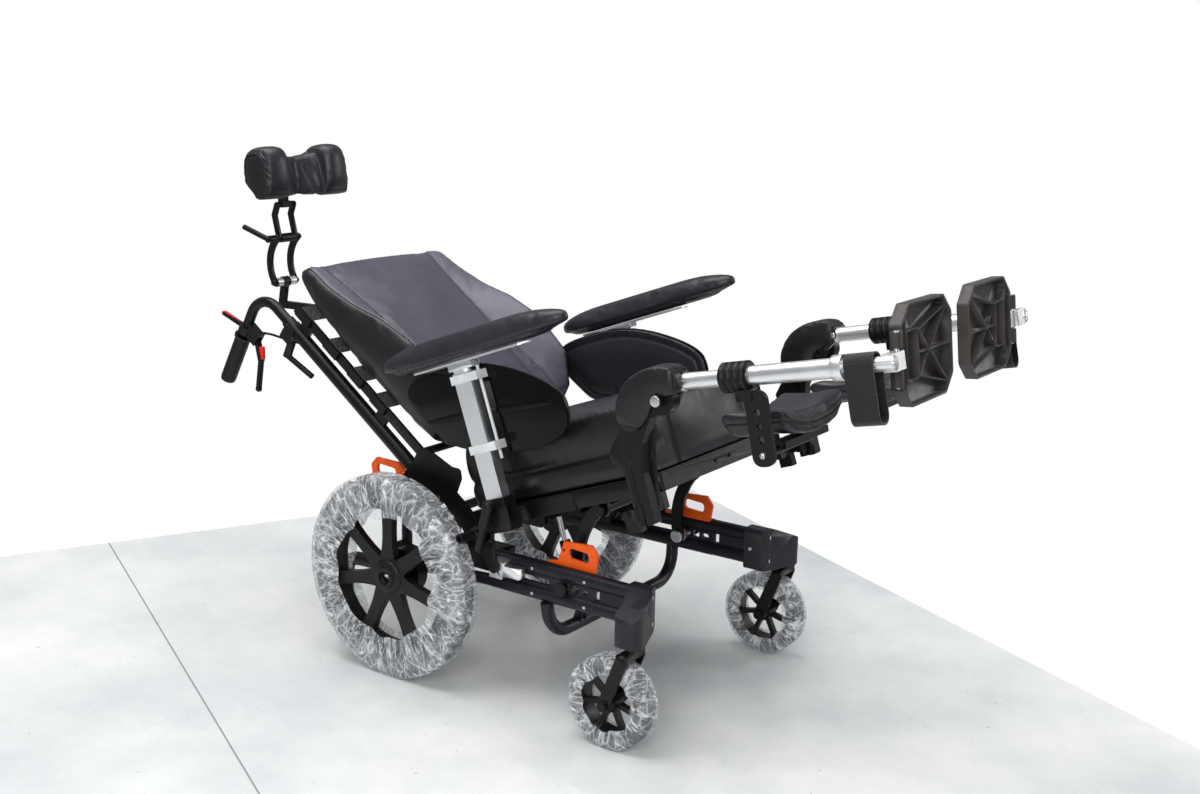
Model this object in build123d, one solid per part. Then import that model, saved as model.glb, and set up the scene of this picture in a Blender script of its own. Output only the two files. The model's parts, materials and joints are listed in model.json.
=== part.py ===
from build123d import *
import math
import os

# Tilt in space wheelchair, drawn in millimetres.
# +Z is up, +X is the sitter's left, and the chair faces -Y.
# Pieces are drawn on the sitter's right (x below zero) and mirrored.
# Side outlines are given as (forward, up) pairs in the frame that carries them.

# ---------------------------------------------------------------- driving sizes
# Overall stance
axle_y = 182.9              # rear axle behind the origin
running_gap = 0.3           # between parts that move on each other
seat_gap = 0.3              # between soft parts and their neighbours

# Rear wheels
wheel_radius = 202.5
wheel_width = 45.0
wheel_x = 284.6
tyre_inner_radius = 158.0
rim_inner_radius = 138.0
rim_width = 36.0
spoke_count = 7
spoke_root_width = 40.0
spoke_waist_width = 25.0
spoke_tip_width = 34.0
spoke_depth = 15.0
hub_radius = 34.0
hub_outer = 22.0
hub_inner = 26.0
axle_radius = 8.0
drum_radius = 46.0

# Casters
caster_radius = 85.0
caster_width = 45.0
caster_x = 277.0
caster_forward = 524.0
caster_tyre_inner = 63.0
caster_rim_width = 30.0
caster_spokes = 7
caster_spoke_width = 9.0
caster_hub_radius = 17.0
stem_forward = 563.0
stem_radius = 7.0
stem_top = 240.0
fork_arm_thickness = 5.0
fork_arm_width = 24.0
fork_side_gap = 3.0
fork_crown_top = 187.0
fork_crown_thickness = 12.0
bearing_radius = 14.0
bearing_height = 9.0

# Side beams
beam_x = 210.0
rail_radius = 14.0
rail_wall = 2.5
rail_spacing = 49.0
lower_rail_up = 218.0
beam_rear = 190.0
beam_front = 540.0
web_thickness = 8.0
web_slot_height = 12.0
beam_joint = 431.0
joint_groove = 0.8

# Caster housings
housing_back = 513.0
housing_front = 553.0
housing_inner_x = 192.0
housing_sleeve_x = 228.0
housing_shoulder_x = 222.0
housing_nose_radius = 27.0
housing_bottom = 198.0
housing_top = 284.0
housing_outer_top = 247.0
housing_corner = 9.0

# Chassis tubes
cross_radius = 12.5
cross_forward = 333.0
cross_up = 137.0
arch_radius = 11.0
arch_x = 172.0
tail_forward = -150.0
tail_up = 165.0
tie_thickness = 6.0
tie_x = 200.0
lock_pivot = (232.0, 262.0)

# Tilt linkage
link_low = (372.0, 244.0)
link_high = (408.0, 388.0)
link_x = 170.0
link_thickness = 8.0
link_width = 24.0
link_pin_radius = 8.0
torsion_radius = 11.0
tilt_rest = 20.0
link_travel = 47.3
guide_x = 147.0
guide_depth = 16.0
guide_thickness = 10.0
guide_foot_low = 252.0
guide_foot_high = 282.0
roller_radius = 12.0
roller_width = 14.0
roller_gap = 1.0
roller_pin_radius = 4.0
roller_arm_thickness = 4.0
roller_spot = (-46.0, 17.0)
strut_x = 120.0
strut_low = (341.0, 161.0)
strut_high = (125.0, -4.0)
strut_tube_radius = 11.0
strut_rod_radius = 5.0
strut_tube_length = 140.0
strut_eye_radius = 11.0

# Seat frame: forward is measured from the recline hinge, up from its axis
hinge_forward = 160.0
hinge_up = 310.0
rail_outer_x = 220.0
seat_rail_width = 20.0
seat_rail_low = 2.0
seat_rail_high = 34.0
seat_rail_rear = -12.0
seat_rail_joint = 252.0
rail_step = 2.0               # the front section is that much slimmer below
seat_front = 440.0
panel_thickness = 18.0
panel_low = 3.0
rear_tube = (22.0, 20.0)
hinge_bolt_radius = 5.7
hinge_boss_radius = 15.0
receiver_range = (-27.0, -6.0)
pan_thickness = 2.5
cushion_half_width = 218.0
cushion_rear = -1.0            # clear of the recline brackets when the back is upright
cushion_top = 171.0
cushion_crown = 6.0
crease_up = 88.0

# Armrests
post_x = 257.0
post_width = 22.0
post_forward = 111.0
post_depth = 40.0
post_wall = 2.0
post_bottom = 32.0
post_top = 296.0
socket_low = -6.0
socket_high = 57.0
socket_wall = 5.0
stem_length = 190.0
arm_plate_thickness = 4.0
arm_pad_rear = -57.0
arm_pad_front = 399.0
arm_pad_x = 282.0
arm_pad_width = 80.0
arm_pad_height = 44.0
guard_x = 241.0
guard_shell = 5.0
guard_pad = 10.0
clamp_levels = (285.0, 152.0)
guard_outline = [(-61, 275), (-43, 301), (2, 311), (144, 305), (292, 222), (304, 176), (272, 140), (134, 137),
                 (18, 176), (-8, 205)]

# Back
recline_rest = 34.0
back_x = 200.0
sleeve_radius = 14.0
sleeve_wall = 2.0
sleeve_low = 106.0
sleeve_high = 625.0
sleeve_depth = -32.0
back_crown = 3.0
strap_front = 21.8
strap_levels = (334.0, 410.0, 494.0, 590.0)
# level, front of the wings, back edge of the wings, half width
back_stations = [
    (178.0, 96.0, 46.0, 196.0),
    (190.0, 120.0, 44.0, 212.0),
    (245.0, 168.0, 38.0, 219.0),
    (345.0, 180.0, 34.0, 220.0),
    (430.0, 162.0, 32.0, 220.0),
    (504.0, 133.0, 36.0, 219.0),
    (576.0, 115.0, 45.0, 218.0),
    (640.0, 108.0, 60.0, 213.0),
    (660.0, 96.0, 66.0, 202.0),
]
back_bottom = 178.0
handle_radius = 11.0
handle_bend = 52.0
handle_top = 724.0
grip_radius = 16.5
grip_start = -150.0
grip_end = -262.0
handle_end = (grip_end, 695.0)
brake_pivot = (-130.0, 672.0)
release_tip = (-152.0, 782.0)
brake_tip = (-216.0, 611.0)

# Headrest
headrest_lower = (-133.0, 830.0)
headrest_upper = (-45.0, 880.0)
headrest_top = (12.0, 926.0)
headrest_clamp = (-40.0, 620.0)
headrest_bar_x = 30.0
headrest_bar_width = 16.0
headrest_bar_thickness = 6.0
headrest_half_width = 125.0
headrest_slope = (0.605, -0.796)
joint_pin_radius = 5.0

# Legrests
hanger_x = 290.0
hanger_post_forward = 445.0
hanger_post_radius = 11.0
hanger_low = -38.0
hanger_thickness = 22.0
knee_forward = 549.0
knee_up = 162.0
leg_drop = 7.6
cover_inner = 257.0
cover_outer = 315.0
cover_wall = 3.0
leg_x = 277.0
leg_axis_up = 24.0
leg_neck_radius = 14.0
leg_tube_radius = 16.0
leg_tube_start = 34.0
leg_neck_end = 120.0
leg_tube_end = 313.0
foot_tube_radius = 12.0
foot_tube_start = 165.0
foot_tube_end = 410.0
calf_clamp_start = 113.0
calf_clamp_end = 163.0
clamp_radius = 25.0
clamp_ribs = 4
calf_bolt = (172.0, -103.0)
calf_plate_inner = 283.0
calf_plate_outer = 291.0
calf_middle = 142.0
calf_back_top = -90.4
calf_inner = 48.0
calf_outer = 262.0
foot_hinge_x = 241.0
foot_hinge_forward = 396.0
foot_tilt = 6.0
plate_inner_x = 35.0
plate_outer_x = 231.0
plate_half_height = 80.0
plate_depth = 20.0
plate_skin = 4.0
plate_rim = 4.5
rib_thickness = 3.0
strap_thickness = 2.2
strap_loop_width = 34.0
strap_loop_height = 112.0
strap_range = (333.0, 381.0)


# ---------------------------------------------------------------- drawing helpers
def spot(x, forward, up):
    """A point of a frame, with x across, then forward and up."""
    return Vector(x, -forward, up)


def side_plane(x):
    """The upright plane at this x, with sketch axes forward and up, facing the right side."""
    return Plane(origin=(x, 0, 0), x_dir=(0, -1, 0), z_dir=(-1, 0, 0))


def polygon(points):
    """A flat face through the points."""
    return make_face(Polyline(*points, close=True))


def rounded(points, radius):
    """A flat face through the points with every corner rounded."""
    face = polygon(points)
    return fillet(face.vertices(), radius)


def side_slab(face, x_inner, x_outer):
    """A side outline given thickness between two distances out on the right side."""
    return extrude(side_plane(-x_inner) * face, amount=x_outer - x_inner)


def block(x_range, forward_range, up_range):
    """A box from its inner and outer x on the right side, and its forward and up ranges."""
    width = x_range[1] - x_range[0]
    length = forward_range[1] - forward_range[0]
    height = up_range[1] - up_range[0]
    middle = spot(-sum(x_range) / 2, sum(forward_range) / 2, sum(up_range) / 2)
    return Pos(middle) * Box(width, length, height)


def rod(start, end, radius):
    """A round bar between two points."""
    line = end - start
    return extrude(Plane(origin=start, z_dir=line) * Circle(radius), amount=line.length)


def pipe(start, end, radius, bore):
    """A round tube between two points."""
    line = end - start
    ring = Circle(radius) - Circle(bore)
    return extrude(Plane(origin=start, z_dir=line) * ring, amount=line.length)


def pin(x_inner, x_outer, centre, radius):
    """A round bar across the chair on the right side."""
    return rod(spot(-x_inner, *centre), spot(-x_outer, *centre), radius)


def bent_tube(points, bends, radius, bore=0.0):
    """A tube along straight runs joined by round bends."""
    path = FilletPolyline(*points, radius=bends)
    section = Circle(radius)
    if bore:
        section = section - Circle(bore)
    start = Plane(origin=points[0], z_dir=points[1] - points[0])
    return sweep(start * section, path=path)


def turned(points):
    """A ring turned round the X axis from (outward, radius) points."""
    outline = [(-outward, radius) for outward, radius in points]
    return revolve(Plane.XZ * polygon(outline), Axis.X)


def bar_outline(start, end, width):
    """A straight bar with round ends, between two centres."""
    middle = ((start[0] + end[0]) / 2, (start[1] + end[1]) / 2)
    reach = math.dist(start, end)
    angle = math.degrees(math.atan2(end[1] - start[1], end[0] - start[0]))
    return Pos(*middle) * Rot(0, 0, angle) * SlotCenterToCenter(reach, width)


def curved_bar(start, through, end, width):
    """A bar bent to an arc, with round ends."""
    arc = ThreePointArc(start, through, end)
    centre = arc.arc_center
    stops = [arc @ 0, arc @ 0.5, arc @ 1]
    outer = [centre + (stop - centre) * (1 + width / 2 / arc.radius) for stop in stops]
    inner = [centre + (stop - centre) * (1 - width / 2 / arc.radius) for stop in stops]
    band = make_face(
        [
            ThreePointArc(*outer),
            Line(outer[2], inner[2]),
            ThreePointArc(*reversed(inner)),
            Line(inner[0], outer[0]),
        ]
    )
    ends = [Pos(*end) * Circle(width / 2) for end in (start, end)]
    return band + ends


def front_slab(face, low, high):
    """A face drawn as (outward x, up), given thickness along forward."""
    plane = Plane(origin=(0, -high, 0), x_dir=(-1, 0, 0), z_dir=(0, 1, 0))
    return extrude(plane * face, amount=high - low)


def lofted(faces):
    """A solid ruled through faces that have the same number of edges."""
    return loft(faces, ruled=True)


def mirrored(shape):
    """The same piece on the left side."""
    return mirror(shape, about=Plane.YZ)


# ---------------------------------------------------------------- how the seat travels
def rotated(point, degrees):
    """A (forward, up) point tipped backwards by an angle."""
    turn = math.radians(degrees)
    forward = point[0] * math.cos(turn) - point[1] * math.sin(turn)
    up = point[0] * math.sin(turn) + point[1] * math.cos(turn)
    return (forward, up)


link_length = math.dist(link_low, link_high)
link_lean = math.degrees(math.atan2(link_high[0] - link_low[0], link_high[1] - link_low[1]))
link_on_seat = rotated((link_high[0] - hinge_forward, link_high[1] - hinge_up), -tilt_rest)


def seat_point(point, travel):
    """Where a seat point stands in the chassis, from full tilt (0) to level (1)."""
    lean = math.radians(link_lean - travel * link_travel)
    tilt = tilt_rest * (1 - travel)
    pivot = (link_low[0] + link_length * math.sin(lean), link_low[1] + link_length * math.cos(lean))
    offset = rotated((point[0] - link_on_seat[0], point[1] - link_on_seat[1]), tilt)
    return (pivot[0] + offset[0], pivot[1] + offset[1])


def guide_point(travel):
    """The guide's centre line, below the roller by both half depths and the gap."""
    step = 0.01
    before = seat_point(roller_spot, travel - step)
    after = seat_point(roller_spot, travel + step)
    along = (after[0] - before[0], after[1] - before[1])
    reach = roller_radius + roller_gap + guide_depth / 2
    scale = reach / math.hypot(*along)
    centre = seat_point(roller_spot, travel)
    return (centre[0] + along[1] * -scale, centre[1] + along[0] * scale)


# ---------------------------------------------------------------- rear wheels
wheel_centre = spot(-wheel_x, 0, wheel_radius)
drum_outer_x = wheel_x - hub_inner - running_gap


def rear_wheel():
    """Seven-spoke moulded wheel with a stepped hub."""
    bore = axle_radius + running_gap
    hub = turned(
        [
            (-hub_inner, bore),
            (-hub_inner, hub_radius - 6),
            (-12, hub_radius),
            (hub_outer - 8, hub_radius),
            (hub_outer - 4, hub_radius - 6),
            (hub_outer - 4, hub_radius - 12),
            (hub_outer, hub_radius - 13),
            (hub_outer, hub_radius - 21),
            (hub_outer - 6, hub_radius - 22),
            (hub_outer - 6, bore),
        ]
    )
    half = rim_width / 2
    rim = turned(
        [
            (-half, rim_inner_radius),
            (half, rim_inner_radius),
            (half, tyre_inner_radius),
            (-half, tyre_inner_radius),
        ]
    )
    root = hub_radius - 6
    tip = rim_inner_radius + 4
    waist = root + (tip - root) * 0.45
    root_half, waist_half, tip_half = spoke_root_width / 2, spoke_waist_width / 2, spoke_tip_width / 2
    spoke_face = make_face(
        [
            ThreePointArc((root, root_half), (waist, waist_half), (tip, tip_half)),
            Line((tip, tip_half), (tip, -tip_half)),
            ThreePointArc((tip, -tip_half), (waist, -waist_half), (root, -root_half)),
            Line((root, -root_half), (root, root_half)),
        ]
    )
    spoke = Pos(spoke_depth / 2 - 4, 0, 0) * side_slab(spoke_face, 0, spoke_depth)
    wheel = hub + rim
    for number in range(spoke_count):
        wheel += Rot(360 / spoke_count * (number + 0.25), 0, 0) * spoke
    return Pos(wheel_centre) * wheel


def round_tyre(radius, inner, width, rim):
    """A tyre with bulged sides and a round crown."""
    half = width / 2
    shoulder = radius - 0.2 * (radius - inner)
    belly = (inner + shoulder) / 2
    face = make_face(
        [
            ThreePointArc((-rim / 2, inner), (-half, belly), (-rim / 2, shoulder)),
            ThreePointArc((-rim / 2, shoulder), (0, radius), (rim / 2, shoulder)),
            ThreePointArc((rim / 2, shoulder), (half, belly), (rim / 2, inner)),
            Line((rim / 2, inner), (-rim / 2, inner)),
        ]
    )
    return revolve(Plane.XZ * face, Axis.X)


def rear_tyre():
    return Pos(wheel_centre) * round_tyre(wheel_radius, tyre_inner_radius, wheel_width, rim_width)


def rear_axle():
    """Axle and brake drum between the side frame and the wheel."""
    centre = (0, wheel_radius)
    axle = pin(axle_boss_inner, wheel_x + hub_outer - 9, centre, axle_radius)
    drum = pin(axle_boss_outer, drum_outer_x, centre, drum_radius) - axle
    return [axle, drum]


# ---------------------------------------------------------------- casters
caster_axle = (caster_forward, caster_radius)
fork_inner = caster_width / 2 + fork_side_gap
fork_outer = fork_inner + fork_arm_thickness
bolt_radius = 5.0


def caster_fork():
    """Crown, two arms and stem, with the axle bolt."""
    half = fork_arm_width / 2
    shoulder = (stem_forward - 4, fork_crown_top - half)
    arm = bar_outline(shoulder, caster_axle, fork_arm_width)
    fork = block(
        (caster_x - fork_outer, caster_x + fork_outer),
        (shoulder[0] - half + 2, shoulder[0] + half - 1),
        (fork_crown_top - fork_crown_thickness, fork_crown_top),
    )
    for side in (-1, 1):
        inner = caster_x + side * fork_inner
        outer = caster_x + side * fork_outer
        fork += side_slab(arm, min(inner, outer), max(inner, outer))
    fork += rod(
        spot(-caster_x, stem_forward, fork_crown_top - 1),
        spot(-caster_x, stem_forward, stem_top),
        stem_radius,
    )
    bolt = pin(caster_x - fork_outer - 4, caster_x + fork_outer + 4, caster_axle, bolt_radius)
    bolt += pin(caster_x + fork_outer, caster_x + fork_outer + 6, caster_axle, bolt_radius + 4)
    bolt += pin(caster_x - fork_outer - 6, caster_x - fork_outer, caster_axle, bolt_radius + 4)
    return [fork - bolt, bolt]


def caster_wheel():
    """Thin-spoked wheel and its tyre."""
    half = caster_rim_width / 2
    bore = bolt_radius + running_gap
    hub_half = caster_width / 2 - 1
    wheel = turned([(-hub_half, bore), (-hub_half, caster_hub_radius - 5), (-half, caster_hub_radius),
                    (half, caster_hub_radius), (hub_half, caster_hub_radius - 5), (hub_half, bore)])
    wheel += turned([(-half, caster_tyre_inner - 8), (half, caster_tyre_inner - 8),
                     (half, caster_tyre_inner), (-half, caster_tyre_inner)])
    reach = caster_tyre_inner - caster_hub_radius
    spoke = Pos(0, 0, caster_hub_radius - 3 + reach / 2) * Box(spoke_depth * 0.8, caster_spoke_width, reach)
    for number in range(caster_spokes):
        wheel += Rot(360 / caster_spokes * number, 0, 0) * spoke
    tyre = round_tyre(caster_radius, caster_tyre_inner, caster_width, caster_rim_width)
    wheel -= tyre
    place = Pos(spot(-caster_x, *caster_axle))
    return [place * wheel, place * tyre]


bearing_levels = (housing_bottom + 3, stem_top - bearing_height - 3)


def caster_bearings():
    """Two bearings round each stem."""
    rings = []
    for low in bearing_levels:
        start = spot(-caster_x, stem_forward, low)
        end = start + Vector(0, 0, bearing_height)
        rings.append(pipe(start, end, bearing_radius, stem_radius + running_gap))
    return rings


# ---------------------------------------------------------------- side frames
axle_boss_inner = beam_x - rail_radius - 2
axle_boss_outer = beam_x + rail_radius + 8
web_middle = lower_rail_up + rail_spacing / 2
front_joint_radius = rail_radius - joint_groove
arch_path = [(120.0, 256.0), (64.0, 349.0), (-62.0, 354.0), (-64.0, 169.0), (tail_forward, tail_up)]
arch_bends = [38.0, 44.0, 44.0]


def side_beam():
    """Twin round rails with a pierced web, and a tail to the axle boss."""
    beam = None
    for up in (lower_rail_up, lower_rail_up + rail_spacing):
        rear = pipe(spot(-beam_x, beam_rear, up), spot(-beam_x, beam_joint, up),
                    rail_radius, rail_radius - rail_wall)
        front = pipe(spot(-beam_x, beam_joint, up), spot(-beam_x, beam_front, up),
                     front_joint_radius, rail_radius - rail_wall)
        pair = rear + front
        beam = pair if beam is None else beam + pair
    web_low = lower_rail_up + rail_radius - 1
    web_high = lower_rail_up + rail_spacing - rail_radius + 1
    half = web_thickness / 2
    beam += block((beam_x - half, beam_x + half), (beam_rear + 25, beam_front), (web_low, web_high))
    slot_half = web_slot_height / 2
    beam -= block((beam_x - half - 1, beam_x + half + 1), (230, 333),
                  (web_middle - slot_half, web_middle + slot_half))
    beam -= pin(beam_x - half - 1, beam_x + half + 1, (392, web_middle), 8.0)
    beam -= side_slab(Pos(414, web_middle) * SlotOverall(16, 9), beam_x - half - 1, beam_x + half + 1)
    beam -= block((beam_x - half - 1, beam_x + half + 1), (436, 447), (web_low + 2, web_high - 2))
    beam -= pin(beam_x - half - 1, beam_x + half + 1, (link_low[0], link_low[1]), link_pin_radius)
    tail_start = spot(-beam_x, beam_rear + 30, lower_rail_up)
    tail_end = spot(-beam_x, 8, wheel_radius + 2)
    boss = pin(axle_boss_inner, axle_boss_outer, (0, wheel_radius), 21.0)
    tail = rod(tail_start, tail_end, rail_radius - rail_wall) + boss
    tail -= pin(axle_boss_inner - 1, axle_boss_outer + 1, (0, wheel_radius), axle_radius)
    beam += tail
    for screw in rail_screws():
        beam -= screw
    return beam


def arch_tube():
    """Bent tube over the seat guide, down past the axle and back to the anti-tip tube."""
    points = [spot(-arch_x, *point) for point in arch_path]
    return bent_tube(points, arch_bends, arch_radius)


def frame_plates():
    """Block between beam and arch, and the plate between axle boss and arch."""
    top = lower_rail_up + rail_spacing + 8
    front = block((arch_x - 12, beam_x + rail_radius - 5), (100, beam_rear + 18), (236, top))
    front = front - side_beam() - arch_tube()
    outline = rounded([(16, 226), (-74, 236), (-76, 182), (12, 182)], 8.0)
    rear = side_slab(outline, arch_x + arch_radius, axle_boss_inner)
    return [largest(front), rear - rear_axle()[0]]


def largest(shape):
    """The biggest solid of a cut piece."""
    return sorted(shape.solids(), key=lambda solid: solid.volume)[-1]


def rear_cross_tube():
    """Tube between the rear legs of the arches."""
    centre = (-63.0, 262.0)
    tube = rod(spot(-arch_x, *centre), spot(arch_x, *centre), arch_radius - 1)
    return largest(tube - arch_tube() - mirrored(arch_tube()))


def cross_tube():
    """U tube slung below the two beams."""
    high = lower_rail_up - rail_radius
    points = [
        spot(-beam_x - 6, cross_forward - 4, high + 0.5),
        spot(-beam_x + 2, cross_forward, cross_up),
        spot(beam_x - 2, cross_forward, cross_up),
        spot(beam_x + 6, cross_forward - 4, high + 0.5),
    ]
    tube = bent_tube(points, [58.0, 58.0], cross_radius)
    return largest(tube - side_beam() - mirrored(side_beam()))


def seat_guide():
    """Curved strip that the seat roller runs along."""
    strip = curved_bar(guide_point(-0.08), guide_point(0.5), guide_point(1.08), guide_depth)
    half = guide_thickness / 2
    guide = side_slab(strip, guide_x - half, guide_x + half)
    low = guide_point(-0.08)
    foot = block((guide_x - half, guide_x + half), (low[0] - 6, low[0] + 34), (guide_foot_low, low[1] + 4))
    foot += block((guide_x - half, arch_x - 12), (low[0] + 4, low[0] + 34), (guide_foot_low, guide_foot_high))
    end = guide_point(1.08)
    stay = bar_outline(end, (-63.0, 262.0), 14.0)
    stay = side_slab(stay, guide_x - half, guide_x + half)
    return guide + foot + stay - rear_cross_tube()


def tie_downs():
    """Bent-plate lashing brackets, front on the beam and rear on the arch."""
    half = tie_thickness / 2
    base = lower_rail_up + rail_spacing + rail_radius - 4
    front_face = rounded(
        [(318, base), (322, base + 6), (344, base + 10), (357, 326), (420, 330), (434, 312), (428, base)],
        2.5,
    )
    front_face -= Pos(391, 305) * Rot(0, 0, -4) * RectangleRounded(46, 20, 8)
    front_face -= Pos(356, 309) * Circle(3.5)
    front = side_slab(front_face, tie_x - half, tie_x + half)
    foot = arch_path[2][1] - 4
    rear_face = rounded(
        [(12, foot), (-30, 380), (-56, 403), (-116, 404), (-130, 388), (-126, 362), (-60, foot)],
        3.0,
    )
    rear_face -= Pos(-88, 381) * Rot(0, 0, -4) * RectangleRounded(50, 20, 8)
    rear_face -= Pos(-46, 384) * Circle(3.5)
    rear = side_slab(rear_face, tie_x - half, tie_x + half)
    rear += block((arch_x, tie_x), (-58, -12), (arch_path[2][1] - 6, arch_path[2][1] + 6))
    return [front - side_beam(), largest(rear - arch_tube())]


def caster_housing():
    """Moulded sleeve over the beam end, swept out and down to the caster stem."""
    nose = (caster_x + 2, stem_forward - 4)
    outer = nose[0] + housing_nose_radius
    front_view = rounded(
        [
            (housing_inner_x, housing_bottom),
            (outer, housing_bottom),
            (outer, housing_outer_top),
            (housing_shoulder_x, housing_top),
            (housing_inner_x, housing_top),
        ],
        housing_corner,
    )
    front = nose[1] + housing_nose_radius
    sleeve = [
        (-housing_inner_x, -housing_back),
        (-housing_sleeve_x, -housing_back),
        (-housing_sleeve_x, -housing_front),
        (-housing_inner_x, -housing_front),
    ]
    circle = Pos(-nose[0], -nose[1]) * Circle(housing_nose_radius)
    touch = (nose[0] - housing_nose_radius * 0.35, nose[1] + housing_nose_radius * 0.937)
    rear_touch = (nose[0] - housing_nose_radius * 0.4, nose[1] - housing_nose_radius * 0.917)
    neck = [
        (-housing_inner_x, -housing_front),
        (-touch[0], -touch[1]),
        (-rear_touch[0], -rear_touch[1]),
        (-housing_sleeve_x, -housing_back - 4),
        (-housing_inner_x, -housing_back - 4),
    ]
    plan = polygon(sleeve) + polygon(neck) + circle
    housing = extrude(plan, amount=housing_top + 5) & front_slab(front_view, housing_back, front + 1)
    clear = rail_radius + 0.2
    housing -= block(
        (beam_x - clear, beam_x + clear),
        (housing_back - 1, beam_front + 0.2),
        (lower_rail_up - clear, lower_rail_up + rail_spacing + clear),
    )
    foot = spot(-caster_x, stem_forward, housing_bottom - 1)
    housing -= rod(foot, foot + Vector(0, 0, stem_top + 2 - housing_bottom), stem_radius + 1)
    for level in bearing_levels:
        start = spot(-caster_x, stem_forward, level)
        housing -= rod(start, start + Vector(0, 0, bearing_height), bearing_radius)
    housing -= rod(foot, foot + Vector(0, 0, 4), bearing_radius)
    for bolt in housing_bolts():
        housing -= bolt
    return housing


def housing_bolts():
    """Two socket screws in the front face and one on the inner side of each housing."""
    bolts = []
    for up in (lower_rail_up, lower_rail_up + rail_spacing):
        start = spot(-beam_x - 6, housing_front + 9, up)
        bolts.append(rod(start, start + Vector(0, 14, 0), 5.0))
    start = spot(-housing_inner_x + 0.5, housing_back + 14, web_middle)
    bolts.append(rod(start, start + Vector(-3.5, 0, 0), 4.0))
    return bolts


def chassis_bolts():
    """Housing screws, link pivots with their knobs and washers, and rail screws."""
    bolts = housing_bolts()
    centre = link_low
    link_inner = link_x - link_thickness / 2
    link_outer = link_x + link_thickness / 2
    shank = pin(link_inner - 2, beam_x + web_thickness / 2 + 2, centre, link_pin_radius)
    washer = pin(link_inner - 6, link_inner - running_gap, centre, 13.0)
    spacer = pin(link_outer + running_gap, beam_x - rail_radius - 1, centre, 13.0)
    neck = pin(beam_x + web_thickness / 2, beam_x + rail_radius + 1, centre, link_pin_radius)
    knob = pin(beam_x + rail_radius + 1, beam_x + rail_radius + 10, centre, 13.0)
    bolts.append(shank + washer + spacer + neck + knob)
    return bolts + rail_screws()


def rail_screws():
    """Small screw heads on the outer side of both rails."""
    screws = []
    for forward in (300.0, 420.0):
        for up in (lower_rail_up, lower_rail_up + rail_spacing):
            start = spot(-beam_x - rail_radius + 1.5, forward, up)
            screws.append(rod(start, start + Vector(-3, 0, 0), 3.0))
    return screws


# ---------------------------------------------------------------- anti-tip tubes and wheel locks
def anti_tipper():
    """Tube on the arch tail, bent down to a small roller."""
    outer = arch_radius + running_gap + 3.0
    tail_end = spot(-arch_x, tail_forward, tail_up)
    direction = (tail_end - spot(-arch_x, *arch_path[3])).normalized()
    start = tail_end - direction * 28
    elbow = tail_end + direction * 82
    foot = spot(-arch_x, -240, 66)
    tube = bent_tube([start, elbow, foot], [34.0], outer)
    tube -= rod(start - direction * 5, tail_end + direction, arch_radius + running_gap)
    roller = pin(arch_x - 10, arch_x + 10, (-240, 48), 24.0)
    fork = side_slab(bar_outline((-240, 70), (-240, 48), 20.0), arch_x + 10.5, arch_x + 14)
    fork += side_slab(bar_outline((-240, 70), (-240, 48), 20.0), arch_x - 14, arch_x - 10.5)
    fork += block((arch_x - 14, arch_x + 14), (-250, -230), (72.5, 80))
    return [tube + fork, roller]


def wheel_lock_base():
    """Aluminium clamp block on the beam's outer side."""
    outer = beam_x + rail_radius
    base = block((beam_x + 4, outer + 26), (218, 248), (240, 274))
    base += block((outer + 2, outer + 22), (248, 286), (246, 266))
    base -= block((beam_x - rail_radius, outer + 0.2), (200, 300), (204, 238.5))
    base = base - side_beam()
    return largest(base - pin(outer + 8, outer + 30, lock_pivot, 5.0))


def wheel_lock():
    """Hand lever and the stop tube that presses on the tyre."""
    stop = (181.0, 317.0)
    outer = beam_x + rail_radius
    inner_x = outer + 27
    plate = side_slab(bar_outline(lock_pivot, stop, 22.0), inner_x, inner_x + 5)
    plate += side_slab(bar_outline(lock_pivot, (224, 304), 20.0), inner_x, inner_x + 5)
    plate += pipe(spot(-inner_x, *stop), spot(-wheel_x - 8, *stop), 9.0, 5.0)
    plate += pin(outer + 8.2, inner_x + 1, lock_pivot, 4.7)
    lever_x = 288.0
    lever = rod(spot(-lever_x, 222, 302), spot(-lever_x, 236, 352), 6.5)
    lever += rod(spot(-lever_x, 235, 348), spot(-lever_x, 246, 390), 10.0)
    lever += Pos(spot(-lever_x, 246, 391)) * Sphere(11.0)
    bridge = rod(spot(-inner_x, 224, 304), spot(-lever_x, 224, 304), 6.5)
    return [plate + lever + bridge]


# ---------------------------------------------------------------- tilt linkage
def front_link():
    """Two curved arms joined by the torsion tube at the top."""
    through = (371.0, 318.0)
    arm = curved_bar(link_low, through, link_high, link_width)
    inner = link_x - link_thickness / 2
    outer = link_x + link_thickness / 2
    arm = side_slab(arm, inner, outer)
    arm -= pin(inner - 1, outer + 1, link_low, link_pin_radius + running_gap)
    tube = rod(spot(-outer, *link_high), spot(outer, *link_high), torsion_radius)
    return arm + mirrored(arm) + tube


def strut_cylinder():
    """Gas spring body with its eye on the cross tube bracket."""
    top = seat_point(strut_high, 0)
    start = spot(-strut_x, *strut_low)
    line = (spot(-strut_x, *top) - start).normalized()
    body = rod(start + line * 14, start + line * strut_tube_length, strut_tube_radius)
    body += side_slab(Pos(*strut_low) * Circle(strut_eye_radius), strut_x - 5, strut_x + 5)
    body += rod(start + line * 8, start + line * 16, 6.0)
    body -= rod(start + line * 24, start + line * (strut_tube_length + 1), strut_rod_radius + running_gap)
    body -= pin(strut_x - 6, strut_x + 6, strut_low, 4.0 + running_gap)
    return body


def strut_rod():
    """Gas spring rod with the upper eye."""
    top = seat_point(strut_high, 0)
    start = spot(-strut_x, *strut_low)
    line = (spot(-strut_x, *top) - start).normalized()
    reach = (spot(-strut_x, *top) - start).length
    body = rod(start + line * 26, start + line * (reach - 6), strut_rod_radius)
    body += side_slab(Pos(*top) * Circle(strut_eye_radius - 2), strut_x - 6, strut_x + 6)
    return body


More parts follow.
